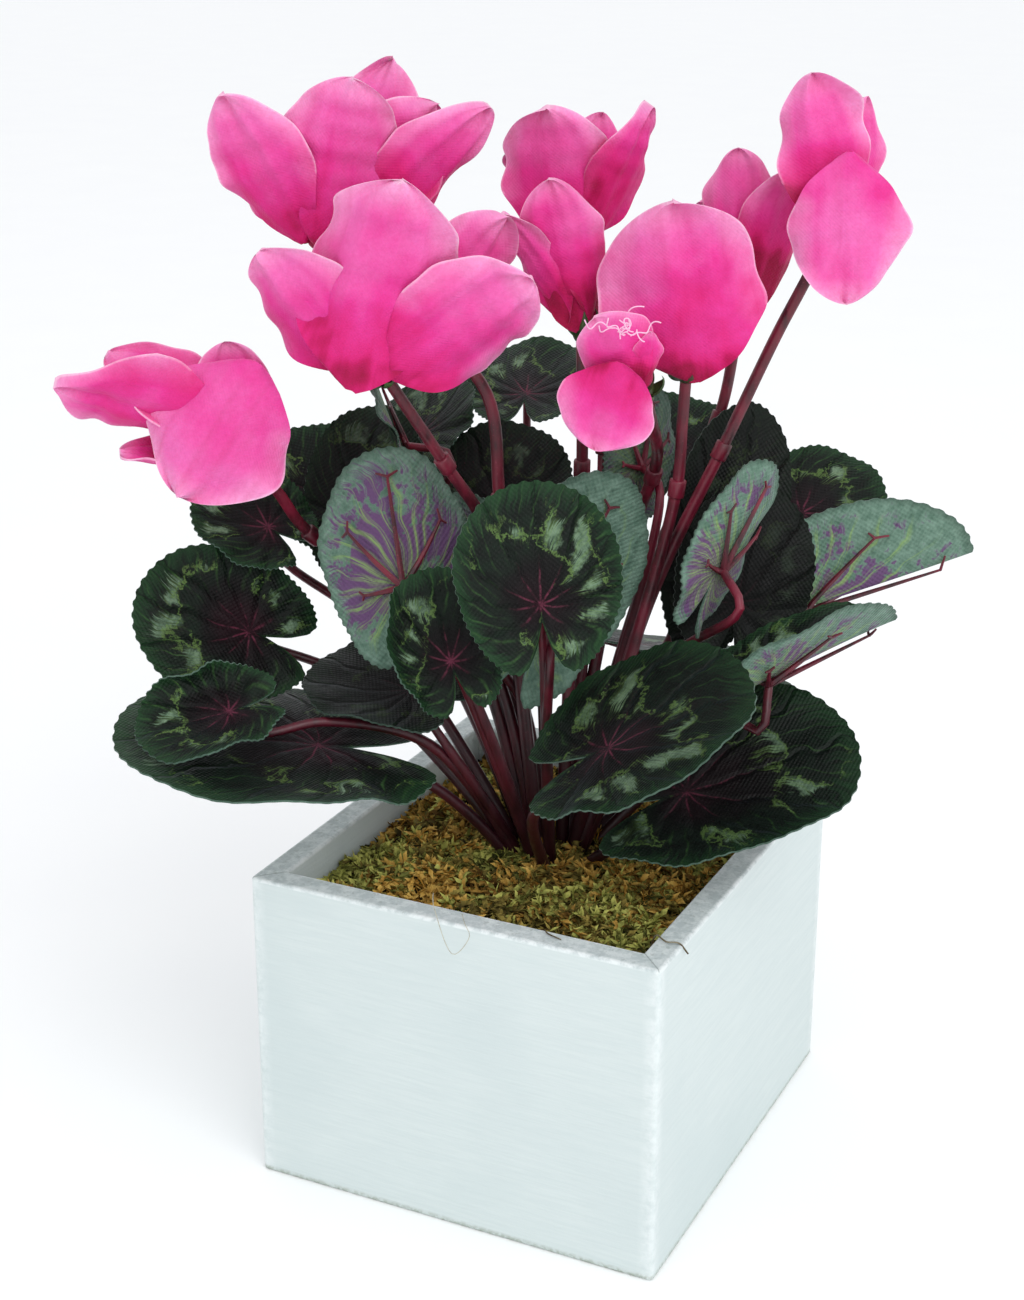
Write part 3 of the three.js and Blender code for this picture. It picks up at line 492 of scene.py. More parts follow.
def makeLeafTop():
    # Polyester satin, printed and resin-stiffened. Nearly black maroon in the middle with hair-
    # thin pink veins, a broken ring of silver-green patches with feathered yellow-green fringes,
    # dark green outside with fine lighter lines, and a cool broken sheen from the satin floats.
    look = dict(middle="#0D0A0B", blush="#230E16", vein="#743449", band="#101D14", dark="#090F0B",
                rim="#1F4024", patch="#728B71", patchDeep="#3F5743", feather="#6F8F4C",
                patchAt=0.63, patchWide=0.15, threadPitch=0.7)
    material, node = newMaterial("printedSatinUpper")
    p = leafPattern(node)
    paintedLeafShade = node("Attribute", output=2, attribute_name="paintedLeafShade")
    loose = node("MapRange", p["wobble"], 0.3, 0.7, -0.16, 0.16)
    feathery = node("MapRange", p["streak"], 0.3, 0.7, -0.10, 0.10)
    reach = node("Math", p["reach"], loose, operation="ADD")
    ragged = node("Math", reach, feathery, operation="ADD")
    off = node("Math", ragged, look["patchAt"], operation="SUBTRACT")
    off = node("Math", off, operation="ABSOLUTE")
    away = node("MapRange", p["fine"], 0.3, 0.7, -1.4, 1.4)
    away = node("Math", p["veinMm"], away, operation="ADD")
    present = node("MapRange", p["blotch"], 0.48, 0.54)
    between = node("Math", node("MapRange", away, 1.4, 3.2), present)
    wide = look["patchWide"]
    halo = node("Math", node("MapRange", off, wide + 0.05, wide - 0.01), between)
    core = node("Math", node("MapRange", off, wide - 0.02, wide - 0.07),
                node("MapRange", away, 2.2, 4.0))
    core = node("Math", core, node("MapRange", p["blotch"], 0.505, 0.545))
    grainy = node("MapRange", p["fine"], 0.35, 0.62)
    colour = node("Mix", grainy, look["dark"], look["band"])
    centre = node("MapRange", reach, 0.58, 0.40)
    colour = node("Mix", centre, colour, look["middle"])
    colour = node("Mix", node("MapRange", reach, 0.34, 0.02), colour, look["blush"])
    lines = node("MapRange", p["twigMm"], 0.55, 0.1)
    lines = node("Math", lines, node("MapRange", p["reach"], 0.45, 0.75, 0, 0.55))
    lines = node("Math", lines, grainy)
    colour = node("Mix", lines, colour, "#3F6433")
    silver = node("Mix", grainy, look["patchDeep"], look["patch"])
    colour = node("Mix", node("Math", core, 0.92), colour, silver)
    outline = node("Math", node("MapRange", p["fine"], 0.3, 0.7, -0.05, 0.05), p["blotch"],
                   operation="ADD")
    outline = node("Math", outline, 0.525, operation="SUBTRACT")
    outline = node("MapRange", node("Math", outline, operation="ABSOLUTE"), 0.016, 0.004)
    ringed = node("MapRange", off, wide + 0.10, wide - 0.02)
    outline = node("Math", outline, ringed)
    combed = node("MapRange", p["streak"], 0.50, 0.60, 0, 0.55)
    fringe = node("Math", node("Math", halo, combed), outline, operation="MAXIMUM")
    colour = node("Mix", node("Math", fringe, 0.5), colour, look["feather"])
    rimGreen = node("Math", p["reach"], feathery, operation="ADD")
    rimGreen = node("MapRange", rimGreen, 0.80, 1.02, 0, 0.85)
    colour = node("Mix", rimGreen, colour, look["rim"])
    thread = node("MapRange", p["veinMm"], 0.40, 0.10)
    broken = node("MapRange", p["fine"], 0.42, 0.56, 0.1, 1)
    inner = node("Math", node("Math", thread, broken),
                 node("MapRange", p["reach"], 0.42, 0.06, 0, 0.85))
    colour = node("Mix", inner, colour, look["vein"])
    outer = node("Math", thread, node("MapRange", p["reach"], 0.3, 0.6, 0, 0.7))
    colour = node("Mix", outer, colour, "#0C1410")
    # painted shade: the whole upper side darkens towards near-black by the leaf's dark value
    colour = node("Mix", paintedLeafShade, colour, "#0B0D0C")
    groove = node("MapRange", p["veinMm"], 1.6, 0.0, 0, -1)
    quilt = node("Math", p["fine"], 0.30, groove, operation="MULTIPLY_ADD")
    crease = node("Math", p["streak"], 0.45, quilt, operation="MULTIPLY_ADD")
    relief = node("Math", weave(node, p["cut"], look["threadPitch"]), 0.12, crease,
                  operation="MULTIPLY_ADD")
    rough = node("MapRange", p["fine"], 0.3, 0.7, 0.36, 0.58)
    finishMaterial(node, colour, rough, relief, 0.55, Specular_IOR_Level=0.15, Sheen_Weight=0.05,
                   Sheen_Roughness=0.35, Sheen_Tint=linearColour("#9FB4C4"))
    return material


def makeLeafUnder():
    # The same cloth from below, where the dye came through thinly: pale grey-green with purple
    # fields, yellow-green streaks beside the veins and a plain thread texture.
    look = dict(ground="#6F8C7C", deep="#4F6D5D", purple="#5F3A68", feather="#7F9E5C", shade="#2F4438",
                threadPitch=0.8)
    material, node = newMaterial("printedSatinUnder")
    p = leafPattern(node)
    pale = node("Attribute", output=2, attribute_name="pale")
    paintedLeafShade = node("Attribute", output=2, attribute_name="paintedLeafShade")
    ragged = node("MapRange", p["streak"], 0.3, 0.7, -0.14, 0.14)
    field = node("Math", p["reach"], ragged, operation="ADD")
    inside = node("MapRange", field, 0.90, 0.78)
    patchy = node("Math", p["blotch"], p["fine"], operation="ADD")
    purple = node("Math", inside, node("MapRange", patchy, 0.93, 1.01))
    purple = node("Math", purple, node("MapRange", pale, 0, 0.8, 0.92, 0.0))
    colour = node("Mix", node("MapRange", p["fine"], 0.35, 0.62), look["deep"], look["ground"])
    colour = node("Mix", purple, colour, look["purple"])
    streaks = node("Math", node("MapRange", p["twigMm"], 1.3, 0.3),
                   node("MapRange", p["streak"], 0.42, 0.60, 0, 0.85))
    streaks = node("Math", streaks, inside)
    colour = node("Mix", streaks, colour, look["feather"])
    colour = node("Mix", node("MapRange", p["reach"], 0.93, 1.0, 0, 0.6), colour, look["shade"])
    # painted shade: the underside darkens by three quarters of the leaf's dark value
    colour = node("Mix", node("Math", paintedLeafShade, 0.75), colour, "#1A2420")
    ridge = node("MapRange", p["veinMm"], 1.6, 0.0)
    relief = node("Math", weave(node, p["cut"], look["threadPitch"]), 0.4, ridge,
                  operation="MULTIPLY_ADD")
    finishMaterial(node, colour, 0.72, relief, 0.3, Specular_IOR_Level=0.25, Sheen_Weight=0.1)
    return material


leafTop = makeLeafTop()
leafUnder = makeLeafUnder()
leafDraw = np.random.default_rng(leafCut["seed"])
for leafName, leafRow in leafRows.items():
    makeLeaf(leafName, leafRow, leafDraw)
print("leaves done")


# Blooms: petals of dyed cloth, each held by a claw in a wired heart.
petalCut = dict(thick=0.45, along=40, across=28, root=0.3, ruffle=1.7, pleat=0.7, crumple=0.16,
                fold=0.8, heart=3.2, claw=0.9)


def petalHalf(t, wide):
    # half width: 0.5 wide * sin(pi t^1.1)^0.6, never under the root's share, whose corners are
    # rounded as sqrt(t)
    swell = np.maximum(np.sin(math.pi * t ** 1.1), 0) ** 0.6
    full = np.maximum(swell, petalCut["root"] * (1 - t ** 8))
    return 0.5 * wide * full * np.sqrt(np.minimum(1, 0.06 + t / 0.07))


def petalSurface(row, draw):
    # A grid of t along and s across, s from -1 to 1, both faces and a rim. The edge ripples as
    # s^3 sin(kt), its outline wanders a little and soft pleats fan out from the root. One fold
    # runs up beside the middle, as a rounded |s - s0|, and six waves of chance direction dent
    # the cloth as a hand leaves it.
    sheet = bentSheet(row, row["start"], row["tip"], 0.5 * row["wide"])
    rows, columns = petalCut["along"] + 1, petalCut["across"] + 1
    t = 1 - (1 - np.linspace(0, 1, rows)) ** 1.25
    t, s = np.meshgrid(t, np.linspace(-1, 1, columns), indexing="ij")
    phase = draw.uniform(0, 2 * math.pi, 6)
    wander = 1 + 0.035 * np.sin(9 * t + phase[4] + 2 * np.sign(s)) + 0.02 * np.sin(23 * t + phase[5])
    tapered = 1 - row.get("point", 0) * ramp01(t, 0.55, 1.0)
    x, y = t, s * petalHalf(t, row["wide"]) * wander * tapered
    size = sheet["length"] / 40
    lift = petalCut["ruffle"] * row.get("wavy", 1) * size * (
        np.abs(s) ** 3 * np.sin(8 * t + phase[0] + s) + 0.8 * t ** 4 * np.sin(4.5 * s + phase[1])
        + 0.35 * np.abs(s) ** 6 * np.sin(19 * t + phase[4]))
    lift += petalCut["pleat"] * size * t * (1 - 0.5 * t) * (
        np.sin(9 * s + phase[2]) + 0.6 * np.sin(15 * s + 3 * t + phase[3])) * (1 - s ** 4)
    foldAt = draw.uniform(-0.45, 0.45)
    crease = np.sqrt((s - foldAt * (0.4 + 0.6 * t)) ** 2 + 0.006) - 0.5
    lift += petalCut["fold"] * size * draw.choice([-1, 1]) * crease * ramp01(t, 0.1, 0.6) * (1 - 0.4 * t)
    way, pace = draw.uniform(0, math.pi, 6), draw.uniform(0.35, 1.1, 6)
    turn = draw.uniform(0, 2 * math.pi, 6)
    waves = (x * sheet["length"])[..., None] * np.cos(way) + y[..., None] * np.sin(way)
    dents = (np.sin(waves * pace + turn) / (0.5 + pace)).sum(-1)
    lift += petalCut["crumple"] * size * dents * ramp01(t, 0.15, 0.5)
    lift += row.get("rollTip", 0) * ramp01(t, 0.7, 1.0) ** 2
    normal = sheet["normal"](x, y)
    middle = sheet["point"](x, y) + normal * lift[..., None]
    points, faceLists = thickSheet(middle, normal * (petalCut["thick"] / 2))
    cut = np.stack([x, y], -1).reshape(-1, 2) * sheet["length"] / cutUnit
    edge = np.maximum(np.abs(s) * ramp01(t, 0.1, 0.35), t ** 3)
    free = row.get("free", 0)
    return points, faceLists, np.tile(cut, (2, 1)), {
        "along": np.tile((free + t * (1 - free)).ravel(), 2), "edge": np.tile(edge.ravel(), 2)}


def ramp01(value, low, high):
    # 0 at low, 1 at high, straight between
    return np.clip((value - low) / (high - low), 0, 1)


def ballSurface(centre, radius, rings=10, sides=16):
    # latitude and longitude grid with a point at each pole
    v, u = np.meshgrid(np.linspace(0, math.pi, rings + 1)[1:-1],
                       np.arange(sides) / sides * 2 * math.pi, indexing="ij")
    body = np.stack([np.sin(v) * np.cos(u), np.sin(v) * np.sin(u), np.cos(v)], -1).reshape(-1, 3)
    points = np.concatenate([body, [[0, 0, 1], [0, 0, -1]]]) * radius + np.array(centre, float)
    index = np.arange(len(body)).reshape(rings - 1, sides)
    nextOne = np.roll(index, -1, axis=1)
    quads = np.stack([index[:-1], index[1:], nextOne[1:], nextOne[:-1]], -1).reshape(-1, 4)
    top = np.stack([np.full(sides, len(body)), index[0], nextOne[0]], -1)
    foot = np.stack([np.full(sides, len(body) + 1), nextOne[-1], index[-1]], -1)
    return points, [quads, np.concatenate([top, foot])]


def tubeSurface(paths, radii, sides):
    # A round section carried along each path: p + r (cos u * side + sin u * other), where side
    # is square to the path and to one fixed direction of each path. paths is (k, n, 3).
    count, steps = paths.shape[:2]
    tangent = unit(np.gradient(paths, axis=1))
    chord = paths[:, -1] - paths[:, 0]
    belly = paths[:, steps // 2] - paths[:, 0]
    fixed = np.cross(belly, chord)
    flat = np.linalg.norm(fixed, axis=1) < 0.05 * np.linalg.norm(chord, axis=1) ** 2
    spare = np.cross(chord, np.where(np.abs(unit(chord)[:, 2:]) > 0.8, [[1.0, 0, 0]], [[0, 0, 1.0]]))
    fixed = unit(np.where(flat[:, None], spare, fixed))[:, None, :]
    side = unit(np.cross(tangent, fixed))
    other = np.cross(tangent, side)
    turn = np.arange(sides) / sides * 2 * math.pi
    ring = (side[:, :, None] * np.cos(turn)[:, None] + other[:, :, None] * np.sin(turn)[:, None])
    points = paths[:, :, None] + ring * radii[:, :, None, None]
    index = np.arange(count * steps * sides).reshape(count, steps, sides)
    nextOne = np.roll(index, -1, axis=2)
    quads = np.stack([index[:, :-1], nextOne[:, :-1], nextOne[:, 1:], index[:, 1:]], -1)
    caps = np.concatenate([index[:, 0, ::-1], index[:, -1]])
    return points.reshape(-1, 3), [quads.reshape(-1, 4), caps]


def joinParts(parts):
    # several (points, face lists, cut, facts) in one, with their faces renumbered
    points, cuts, faceLists, facts = [], [], [], {}
    total = 0
    for partPoints, partFaces, partCut, partFacts in parts:
        points.append(partPoints)
        cuts.append(np.zeros((len(partPoints), 2)) if partCut is None else partCut)
        faceLists += [faces + total for faces in partFaces]
        for fact, values in partFacts.items():
            facts.setdefault(fact, []).append(values)
        total += len(partPoints)
    return np.concatenate(points), faceLists, np.concatenate(cuts), {
        fact: np.concatenate(values) for fact, values in facts.items()}


def makePetals(name, row, draw):
    # the petals, their claws, which thin out from the heart to the petal, and the heart; the
    # claws and the heart are the throat's colour
    root = np.array(row["at"], float)
    parts = []
    for petalRow in row["petals"]:
        points, faceLists, cut, facts = petalSurface(petalRow, draw)
        facts["tone"] = np.full(len(points), petalRow["tone"])
        facts["shift"] = np.full(len(points), draw.uniform(0, 30))
        parts.append((points, faceLists, cut, facts))
    inner = [ballSurface(root, petalCut["heart"])]
    for petalRow in row["petals"]:
        path = root + np.multiply.outer(np.linspace(0, 1, 6), np.array(petalRow["start"], float) - root)
        inner.append(tubeSurface(path[None], petalCut["claw"] * np.linspace(1, 0.22, 6)[None], 8))
    for points, faceLists in inner:
        blank = np.zeros(len(points))
        facts = dict(along=blank, edge=blank, tone=blank + 0.8, shift=blank)
        parts.append((points, faceLists, None, facts))
    points, faceLists, cut, facts = joinParts(parts)
    piece = meshObject(name + "_cloth", points, faceLists, [petalCloth], None, cut, facts)
    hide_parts(name + "_petals")


def makePetalCloth():
    # Polyester habotai, dip-dyed from the root and pressed. Crimson in the throat, hot pink in
    # the flesh, and a paler, frayed edge where the dye wicked away; fine pressed veins fan out
    # from the root, and the plain weave gives a soft, dry sheen.
    look = dict(throat="#94043A", root="#CC1468", flesh="#DC3690", outer="#E66DB3", edge="#F2A8D2",
                rim="#F9D0E6", deep="#B8125F", threadPitch=0.5)
    material, node = newMaterial("dyedHabotai")
    cut = node("UVMap", uv_map="cut")
    shift, along, edge, tone = [node("Attribute", output=2, attribute_name=fact)
                                for fact in ("shift", "along", "edge", "tone")]
    place = node("VectorMath", cut, 3 * (cutUnit * metre,))
    field = node("VectorMath", place, node("CombineXYZ", None, None, shift), operation="ADD")
    cloud = node("TexNoise", field, 70.0, 2.0, 0.5)
    grain = node("TexNoise", field, 900.0, 2.0, 0.6)
    drawn = node("VectorMath", field, (14.0, 200.0, 1.0))
    pleats = node("TexNoise", drawn, 1.0, 3.0, 0.55)
    wander = node("MapRange", cloud, 0.3, 0.7, -0.24, 0.24)
    t = node("Math", along, wander, operation="ADD")
    # each petal's tone moves it towards the throat colour: partly its own dye depth, partly painted shade
    t = node("Math", t, node("MapRange", tone, 0, 1, 0.22, -0.34), operation="ADD")
    t = node("Math", t, node("MapRange", pleats, 0.35, 0.65, -0.07, 0.07), operation="ADD")
    colour = node("Mix", node("MapRange", t, -0.05, 0.18), look["throat"], look["root"])
    colour = node("Mix", node("MapRange", t, 0.08, 0.48), colour, look["flesh"])
    colour = node("Mix", node("MapRange", t, 0.45, 0.95, 0, 0.9), colour, look["outer"])
    fading = node("Math", node("MapRange", edge, 0.55, 1.0), node("MapRange", t, 0.25, 0.95, 0.1, 0.85))
    colour = node("Mix", fading, colour, look["edge"])
    frayed = node("Math", node("MapRange", edge, 0.955, 0.995),
                  node("MapRange", t, 0.1, 0.6, 0.10, 0.6))
    colour = node("Mix", frayed, colour, look["rim"])
    # painted shade: the cloth darkens along the pleats to stand in for shade in its folds
    colour = node("Mix", node("MapRange", pleats, 0.52, 0.70, 0, 0.25), colour, look["deep"])
    colour = node("Mix", node("MapRange", grain, 0.35, 0.65, 0, 0.14), colour, look["deep"])
    threads = node("Math", weave(node, cut, look["threadPitch"]), 0.22, grain, operation="MULTIPLY_ADD")
    relief = node("Math", pleats, 3.0, threads, operation="MULTIPLY_ADD")
    finishMaterial(node, colour, 0.7, relief, 0.16, Specular_IOR_Level=0.2, Sheen_Weight=0.15,
                   Sheen_Roughness=0.5, Sheen_Tint=linearColour("#FFC4E2"), Subsurface_Weight=0.12,
                   Subsurface_Radius=(1.0, 0.3, 0.5), Subsurface_Scale=1.5 * metre)
    return material


petalCloth = makePetalCloth()
for bloomName, bloomRow in bloomRows.items():
    makePetals(bloomName, bloomRow, np.random.default_rng(bloomRow["seed"]))
print("petals done")


def makeThreads():
    # Frayed ends of the cloth that curl out of the sixth bloom: helices that open as they run,
    # p = start + way * s + r (cos u * side + sin u * up), with r growing along them.
    curl = dict(count=9, turns=1.6, length=9.0, radius=2.2, thread=0.17, steps=60, at=(30, -26, 243),
                seed=41)
    draw = np.random.default_rng(curl["seed"])
    count = curl["count"]
    s = np.linspace(0, 1, curl["steps"])[None, :, None]
    start = np.array(curl["at"], float) + draw.normal(0, 1.0, (count, 3))
    way = unit(draw.normal(0, 1, (count, 3)) * [1.0, 0.5, 0.35] + [0.3, -0.5, 0.5])
    side = unit(np.cross(way, draw.normal(0, 1, (count, 3))))
    other = np.cross(way, side)
    turns = draw.uniform(0.6, 1.0, (count, 1, 1)) * curl["turns"] * 2 * math.pi * s
    radius = draw.uniform(0.5, 1.0, (count, 1, 1)) * curl["radius"] * s
    length = draw.uniform(0.4, 1.0, (count, 1, 1)) * curl["length"]
    paths = start[:, None] + way[:, None] * length * s + radius * (
        side[:, None] * (np.cos(turns) - 1) + other[:, None] * np.sin(turns))
    points, faceLists = tubeSurface(paths, np.full(paths.shape[:2], curl["thread"]), 5)
    ones = np.ones(len(points))
    piece = meshObject("frayedThreads", points, faceLists, [petalCloth], None, np.zeros((len(points), 2)),
                       dict(along=ones, edge=ones, tone=0 * ones, shift=ones))


makeThreads()


# Stems: one moulded bush of leaf stalks with their ribs and of bloom stalks with sleeves.
stemSize = dict(petioleFoot=1.9, petioleHead=1.15, stalkFoot=2.1, stalkHead=1.55, lead=12,
                sleeveRadius=2.35, sleeveLength=5, rib=0.85, ribGap=0.45, steps=40, sides=10)
trunkSize = dict(head=12.5, spike=8.5, top=79, under=72.3, foot=30.3, inner=2, outer=11, root=2)
cupSize = dict(radius=2.8, length=4, heart=3.4, gap=0.3)


def smoothCurve(points, count):
    # Centripetal Catmull-Rom through the points, then spaced evenly by length. Each stretch is a
    # cubic whose end slopes come from its neighbours, weighted by the square roots of distances.
    points = np.array(points, float)
    padded = np.concatenate([[2 * points[0] - points[1]], points, [2 * points[-1] - points[-2]]])
    a, b, c, d = padded[:-3], padded[1:-2], padded[2:-1], padded[3:]
    ab, bc, cd = [np.sqrt(np.linalg.norm(q - p, axis=1, keepdims=True)) for p, q in
                  ((a, b), (b, c), (c, d))]
    slopeB = ((b - a) / ab - (c - a) / (ab + bc) + (c - b) / bc) * bc
    slopeC = ((c - b) / bc - (d - b) / (bc + cd) + (d - c) / cd) * bc
    t = np.linspace(0, 1, 24, endpoint=False)[:, None, None]
    curve = (b + slopeB * t + (3 * (c - b) - 2 * slopeB - slopeC) * t ** 2
             + (2 * (b - c) + slopeB + slopeC) * t ** 3)
    curve = np.concatenate([curve.transpose(1, 0, 2).reshape(-1, 3), points[-1:]])
    reach = np.concatenate([[0], np.cumsum(np.linalg.norm(np.diff(curve, axis=0), axis=1))])
    even = np.linspace(0, reach[-1], count)
    return np.stack([np.interp(even, reach, curve[:, k]) for k in range(3)], -1)


def stemPoints(end, arriving, lead, via=()):
    # from the trunk's head, out of it, past the points given, and in along arriving
    first = np.array(via[-1] if len(via) else end, float)
    aside = math.hypot(first[0], first[1]) / (first[2] - trunkSize["top"])
    reach = trunkSize["inner"] + (trunkSize["outer"] - trunkSize["inner"]) * min(aside, 1)
    outward = unit(first * [1, 1, 0]) * reach
    foot = outward + [0, 0, trunkSize["top"] - trunkSize["root"]]
    neck = outward * 1.15 + [0, 0, trunkSize["top"] + 5]
    return [foot, neck, *[np.array(v, float) for v in reversed(via)], end - arriving * lead, end]


def leafStems(row):
    # the stalk, five ribs under the blade along its veins, and two short barbs on each rib
    sheet = leafSheetOf(row)
    drop = 0.35 + stemSize["ribGap"] + stemSize["rib"]

    def underAt(angle, ring):
        x, y = leafPlace(row, np.asarray(angle, float), np.asarray(ring, float))
        return sheet["point"](x, y) - sheet["normal"](x, y) * drop

    arriving = unit(sheet["ahead"] * 0.6 + sheet["above"] * 0.8)
    head = underAt(0.0, 0.0) - sheet["normal"](np.array(0.0), np.array(0.0)) * 0.3
    path = smoothCurve(stemPoints(head, arriving, row.get("lead", stemSize["lead"]), row.get("via", ())),
                       stemSize["steps"])
    taper = np.linspace(0, 1, stemSize["steps"])
    tubes = [(path, stemSize["petioleFoot"] + (stemSize["petioleHead"] - stemSize["petioleFoot"]) * taper)]
    for turn, far in ((0, 0.78), (-45, 0.66), (45, 0.66), (-100, 0.5), (100, 0.5)):
        ring = np.linspace(0, far, 10)
        angle = math.radians(turn) * (1 - 0.12 * ring)
        tubes.append((underAt(angle, ring), np.linspace(stemSize["rib"] * 1.15, 0.4, 10)))
        tubes += [(underAt(np.linspace(angle[-1], angle[-1] + side, 4), np.linspace(far, far + 0.04, 4)),
                   np.linspace(0.45, 0.3, 4)) for side in (-0.1, 0.1)]
    return tubes


def bloomAxis(row):
    # the way a stalk ends: from its last point before the bloom to the bloom
    return unit(np.array(row["at"], float) - np.array(row["via"][0], float))


def bloomStems(row):
    # the stalk and, where its two lengths are pushed together, a sleeve with rounded ends
    axis = bloomAxis(row)
    end = np.array(row["at"], float) - axis * (cupSize["heart"] + cupSize["length"] + 2 * cupSize["gap"])
    path = smoothCurve(stemPoints(end, axis, stemSize["lead"], row["via"]), stemSize["steps"] + 20)
    taper = np.linspace(0, 1, len(path)) ** 0.6
    radii = stemSize["stalkFoot"] + (stemSize["stalkHead"] - stemSize["stalkFoot"]) * taper
    joint = np.argmin(np.linalg.norm(path - np.array(row["via"][row["sleeve"]]), axis=1))
    tangent = unit(path[joint + 1] - path[joint - 1])
    along = np.array([-0.5, -0.48, -0.42, 0.42, 0.48, 0.5])[:, None] * stemSize["sleeveLength"]
    collar = path[joint] + tangent * along
    swell = np.array([0.72, 0.92, 1, 1, 0.92, 0.72]) * stemSize["sleeveRadius"]
    return [(path, radii), (collar, swell)]


def makeMouldedStem():
    # Injection-moulded polyethylene, wine red right through: satin, a little translucent, with
    # faint flow marks along the stem and moulding scuffs; the darkening low down is painted shade.
    look = dict(dark="#2E0811", wine="#5C0F22", bright="#841A35", scuff="#9A4056")
    material, node = newMaterial("mouldedPolyethylene")
    place = node("TexCoord", output=3)
    stretched = node("VectorMath", place, (450.0, 450.0, 90.0))
    flow = node("TexNoise", stretched, 1.0, 3.0, 0.55)
    cloud = node("TexNoise", place, 80.0, 2.0, 0.5)
    speck = node("TexNoise", place, 1400.0, 2.0, 0.6)
    colour = node("Mix", node("MapRange", flow, 0.35, 0.65), look["dark"], look["wine"])
    colour = node("Mix", node("MapRange", cloud, 0.42, 0.70, 0, 0.7), colour, look["bright"])
    colour = node("Mix", node("MapRange", speck, 0.62, 0.72, 0, 0.35), colour, look["scuff"])
    # painted shade: the stems darken towards near-black at their foot, under the leaves
    low = node("SeparateXYZ", place, output=2)
    colour = node("Mix", node("MapRange", low, 0.175, 0.095, 0, 0.88), colour, "#1D050B")
    finishMaterial(node, colour, node("MapRange", flow, 0.3, 0.7, 0.32, 0.5), flow, 0.15,
                   Subsurface_Weight=0.08, Subsurface_Radius=(1.0, 0.2, 0.2),
                   Subsurface_Scale=1.0 * metre)
    return material


def makeStems():
    # all tubes, and the trunk as a turned profile, in one piece
    tubes = [tube for row in leafRows.values() for tube in leafStems(row)]
    tubes += [tube for row in bloomRows.values() for tube in bloomStems(row)]
    parts = []
    for path, radii in tubes:
        sides = stemSize["sides"] if radii[0] > 1.1 else 6
        points, faceLists = tubeSurface(path[None], np.asarray(radii)[None], sides)
        parts.append((points, faceLists, None, {}))
    size = trunkSize
    profile = np.array([[size["spike"], size["foot"]], [size["spike"], size["under"]],
                        [size["head"], size["under"]], [size["head"], size["top"] - 1],
                        [size["head"] * 0.6, size["top"] - 0.2]])
    path = np.stack([0 * profile[:, 1], 0 * profile[:, 1], profile[:, 1]], -1)
    points, faceLists = tubeSurface(np.linspace(path[0], path[-1], 5)[None], profile[None, :, 0], 24)
    points[:, 2] = np.repeat(profile[:, 1], 24)
    parts.append((points, faceLists, None, {}))
    points, faceLists, cut, facts = joinParts(parts)
    piece = meshObject("stems", points, faceLists, [makeMouldedStem()])
    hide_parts("stem_bush")


makeStems()
print("stems done")


# Green cups under the blooms, each with five pointed sepals.
sepalSize = dict(count=5, length=5.4, width=3.4, thick=0.7, lean=94, curl=35)


def sepalSurface(place, ahead, above, longer):
    # a lance-shaped leaf: half width 0.5 w sin(pi t^0.75), keeled along its middle
    side = np.cross(above, ahead)
    t, s = np.meshgrid(np.linspace(0, 1, 12), np.linspace(-1, 1, 7), indexing="ij")
    halfWidth = 0.5 * sepalSize["width"] * np.maximum(np.sin(math.pi * (0.12 + 0.88 * t) ** 0.75), 0.04)
    bend = math.radians(sepalSize["curl"]) * t ** 2
    x = t * sepalSize["length"] * longer
    middle = (place + np.multiply.outer(x * np.cos(bend), ahead) + np.multiply.outer(s * halfWidth, side)
              + np.multiply.outer(x * np.sin(bend) + 0.35 * halfWidth * (s ** 2), above))
    return thickSheet(middle, above * sepalSize["thick"] / 2)


def makeSepalPlastic():
    # Moulded polyethylene in dark leaf green, dusted with wine red where it meets the stalk dye.
    material, node = newMaterial("greenPolyethylene")
    place = node("TexCoord", output=3)
    cloud = node("TexNoise", place, 250.0, 3.0, 0.55)
    dust = node("TexNoise", place, 110.0, 1.0, 0.5)
    colour = node("Mix", node("MapRange", cloud, 0.35, 0.65), "#14260F", "#35521F")
    colour = node("Mix", node("MapRange", dust, 0.5, 0.66, 0, 0.6), colour, "#42161C")
    finishMaterial(node, colour, node("MapRange", cloud, 0.3, 0.7, 0.4, 0.6), cloud, 0.2)
    return material


def makeSepals(name, row, material):
    # A cup swept along the bloom's axis, and sepals spaced evenly round it, each leaning from the
    # axis by lean: out * sin(lean) + axis * cos(lean).
    axis = bloomAxis(row)
    seat = np.array(row["at"], float) - axis * (cupSize["heart"] + cupSize["gap"] + cupSize["length"])
    spare = np.array([1.0, 0, 0]) if abs(axis[0]) < 0.7 else np.array([0, 1.0, 0])
    first = unit(np.cross(axis, spare))
    second = np.cross(axis, first)
    heights = np.array([0, 0.15, 0.5, 0.85, 1.0])
    swell = np.array([0.66, 0.78, 0.95, 1.0, 0.9]) * cupSize["radius"]
    points, faceLists = tubeSurface((seat + np.multiply.outer(heights * cupSize["length"], axis))[None],
                                    swell[None], 16)
    parts = [(points, faceLists, None, {})]
    lean = math.radians(row.get("sepalLean", sepalSize["lean"]))
    for turn in np.arange(sepalSize["count"]) / sepalSize["count"] * 2 * math.pi:
        out = first * math.cos(turn) + second * math.sin(turn)
        ahead = out * math.sin(lean) + axis * math.cos(lean)
        above = unit(axis - ahead * (axis @ ahead))
        place = seat + axis * cupSize["length"] * 0.2 + out * cupSize["radius"] * 0.4
        parts.append((*sepalSurface(place, ahead, above, row.get("sepal", 1)), None, {}))
    points, faceLists, cut, facts = joinParts(parts)
    piece = meshObject(name + "_cup", points, faceLists, [material])
    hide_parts(name + "_sepals")


sepalPlastic = makeSepalPlastic()
for bloomName, bloomRow in bloomRows.items():
    makeSepals(bloomName, bloomRow, sepalPlastic)
print("sepals done")


# The box: four mitred boards glued and painted over as one, and its base board.
boxSize = dict(width=120, depth=130, height=92.5, wall=7.5, corner=1.3, edge=0.8, lift=0.5, stations=70)


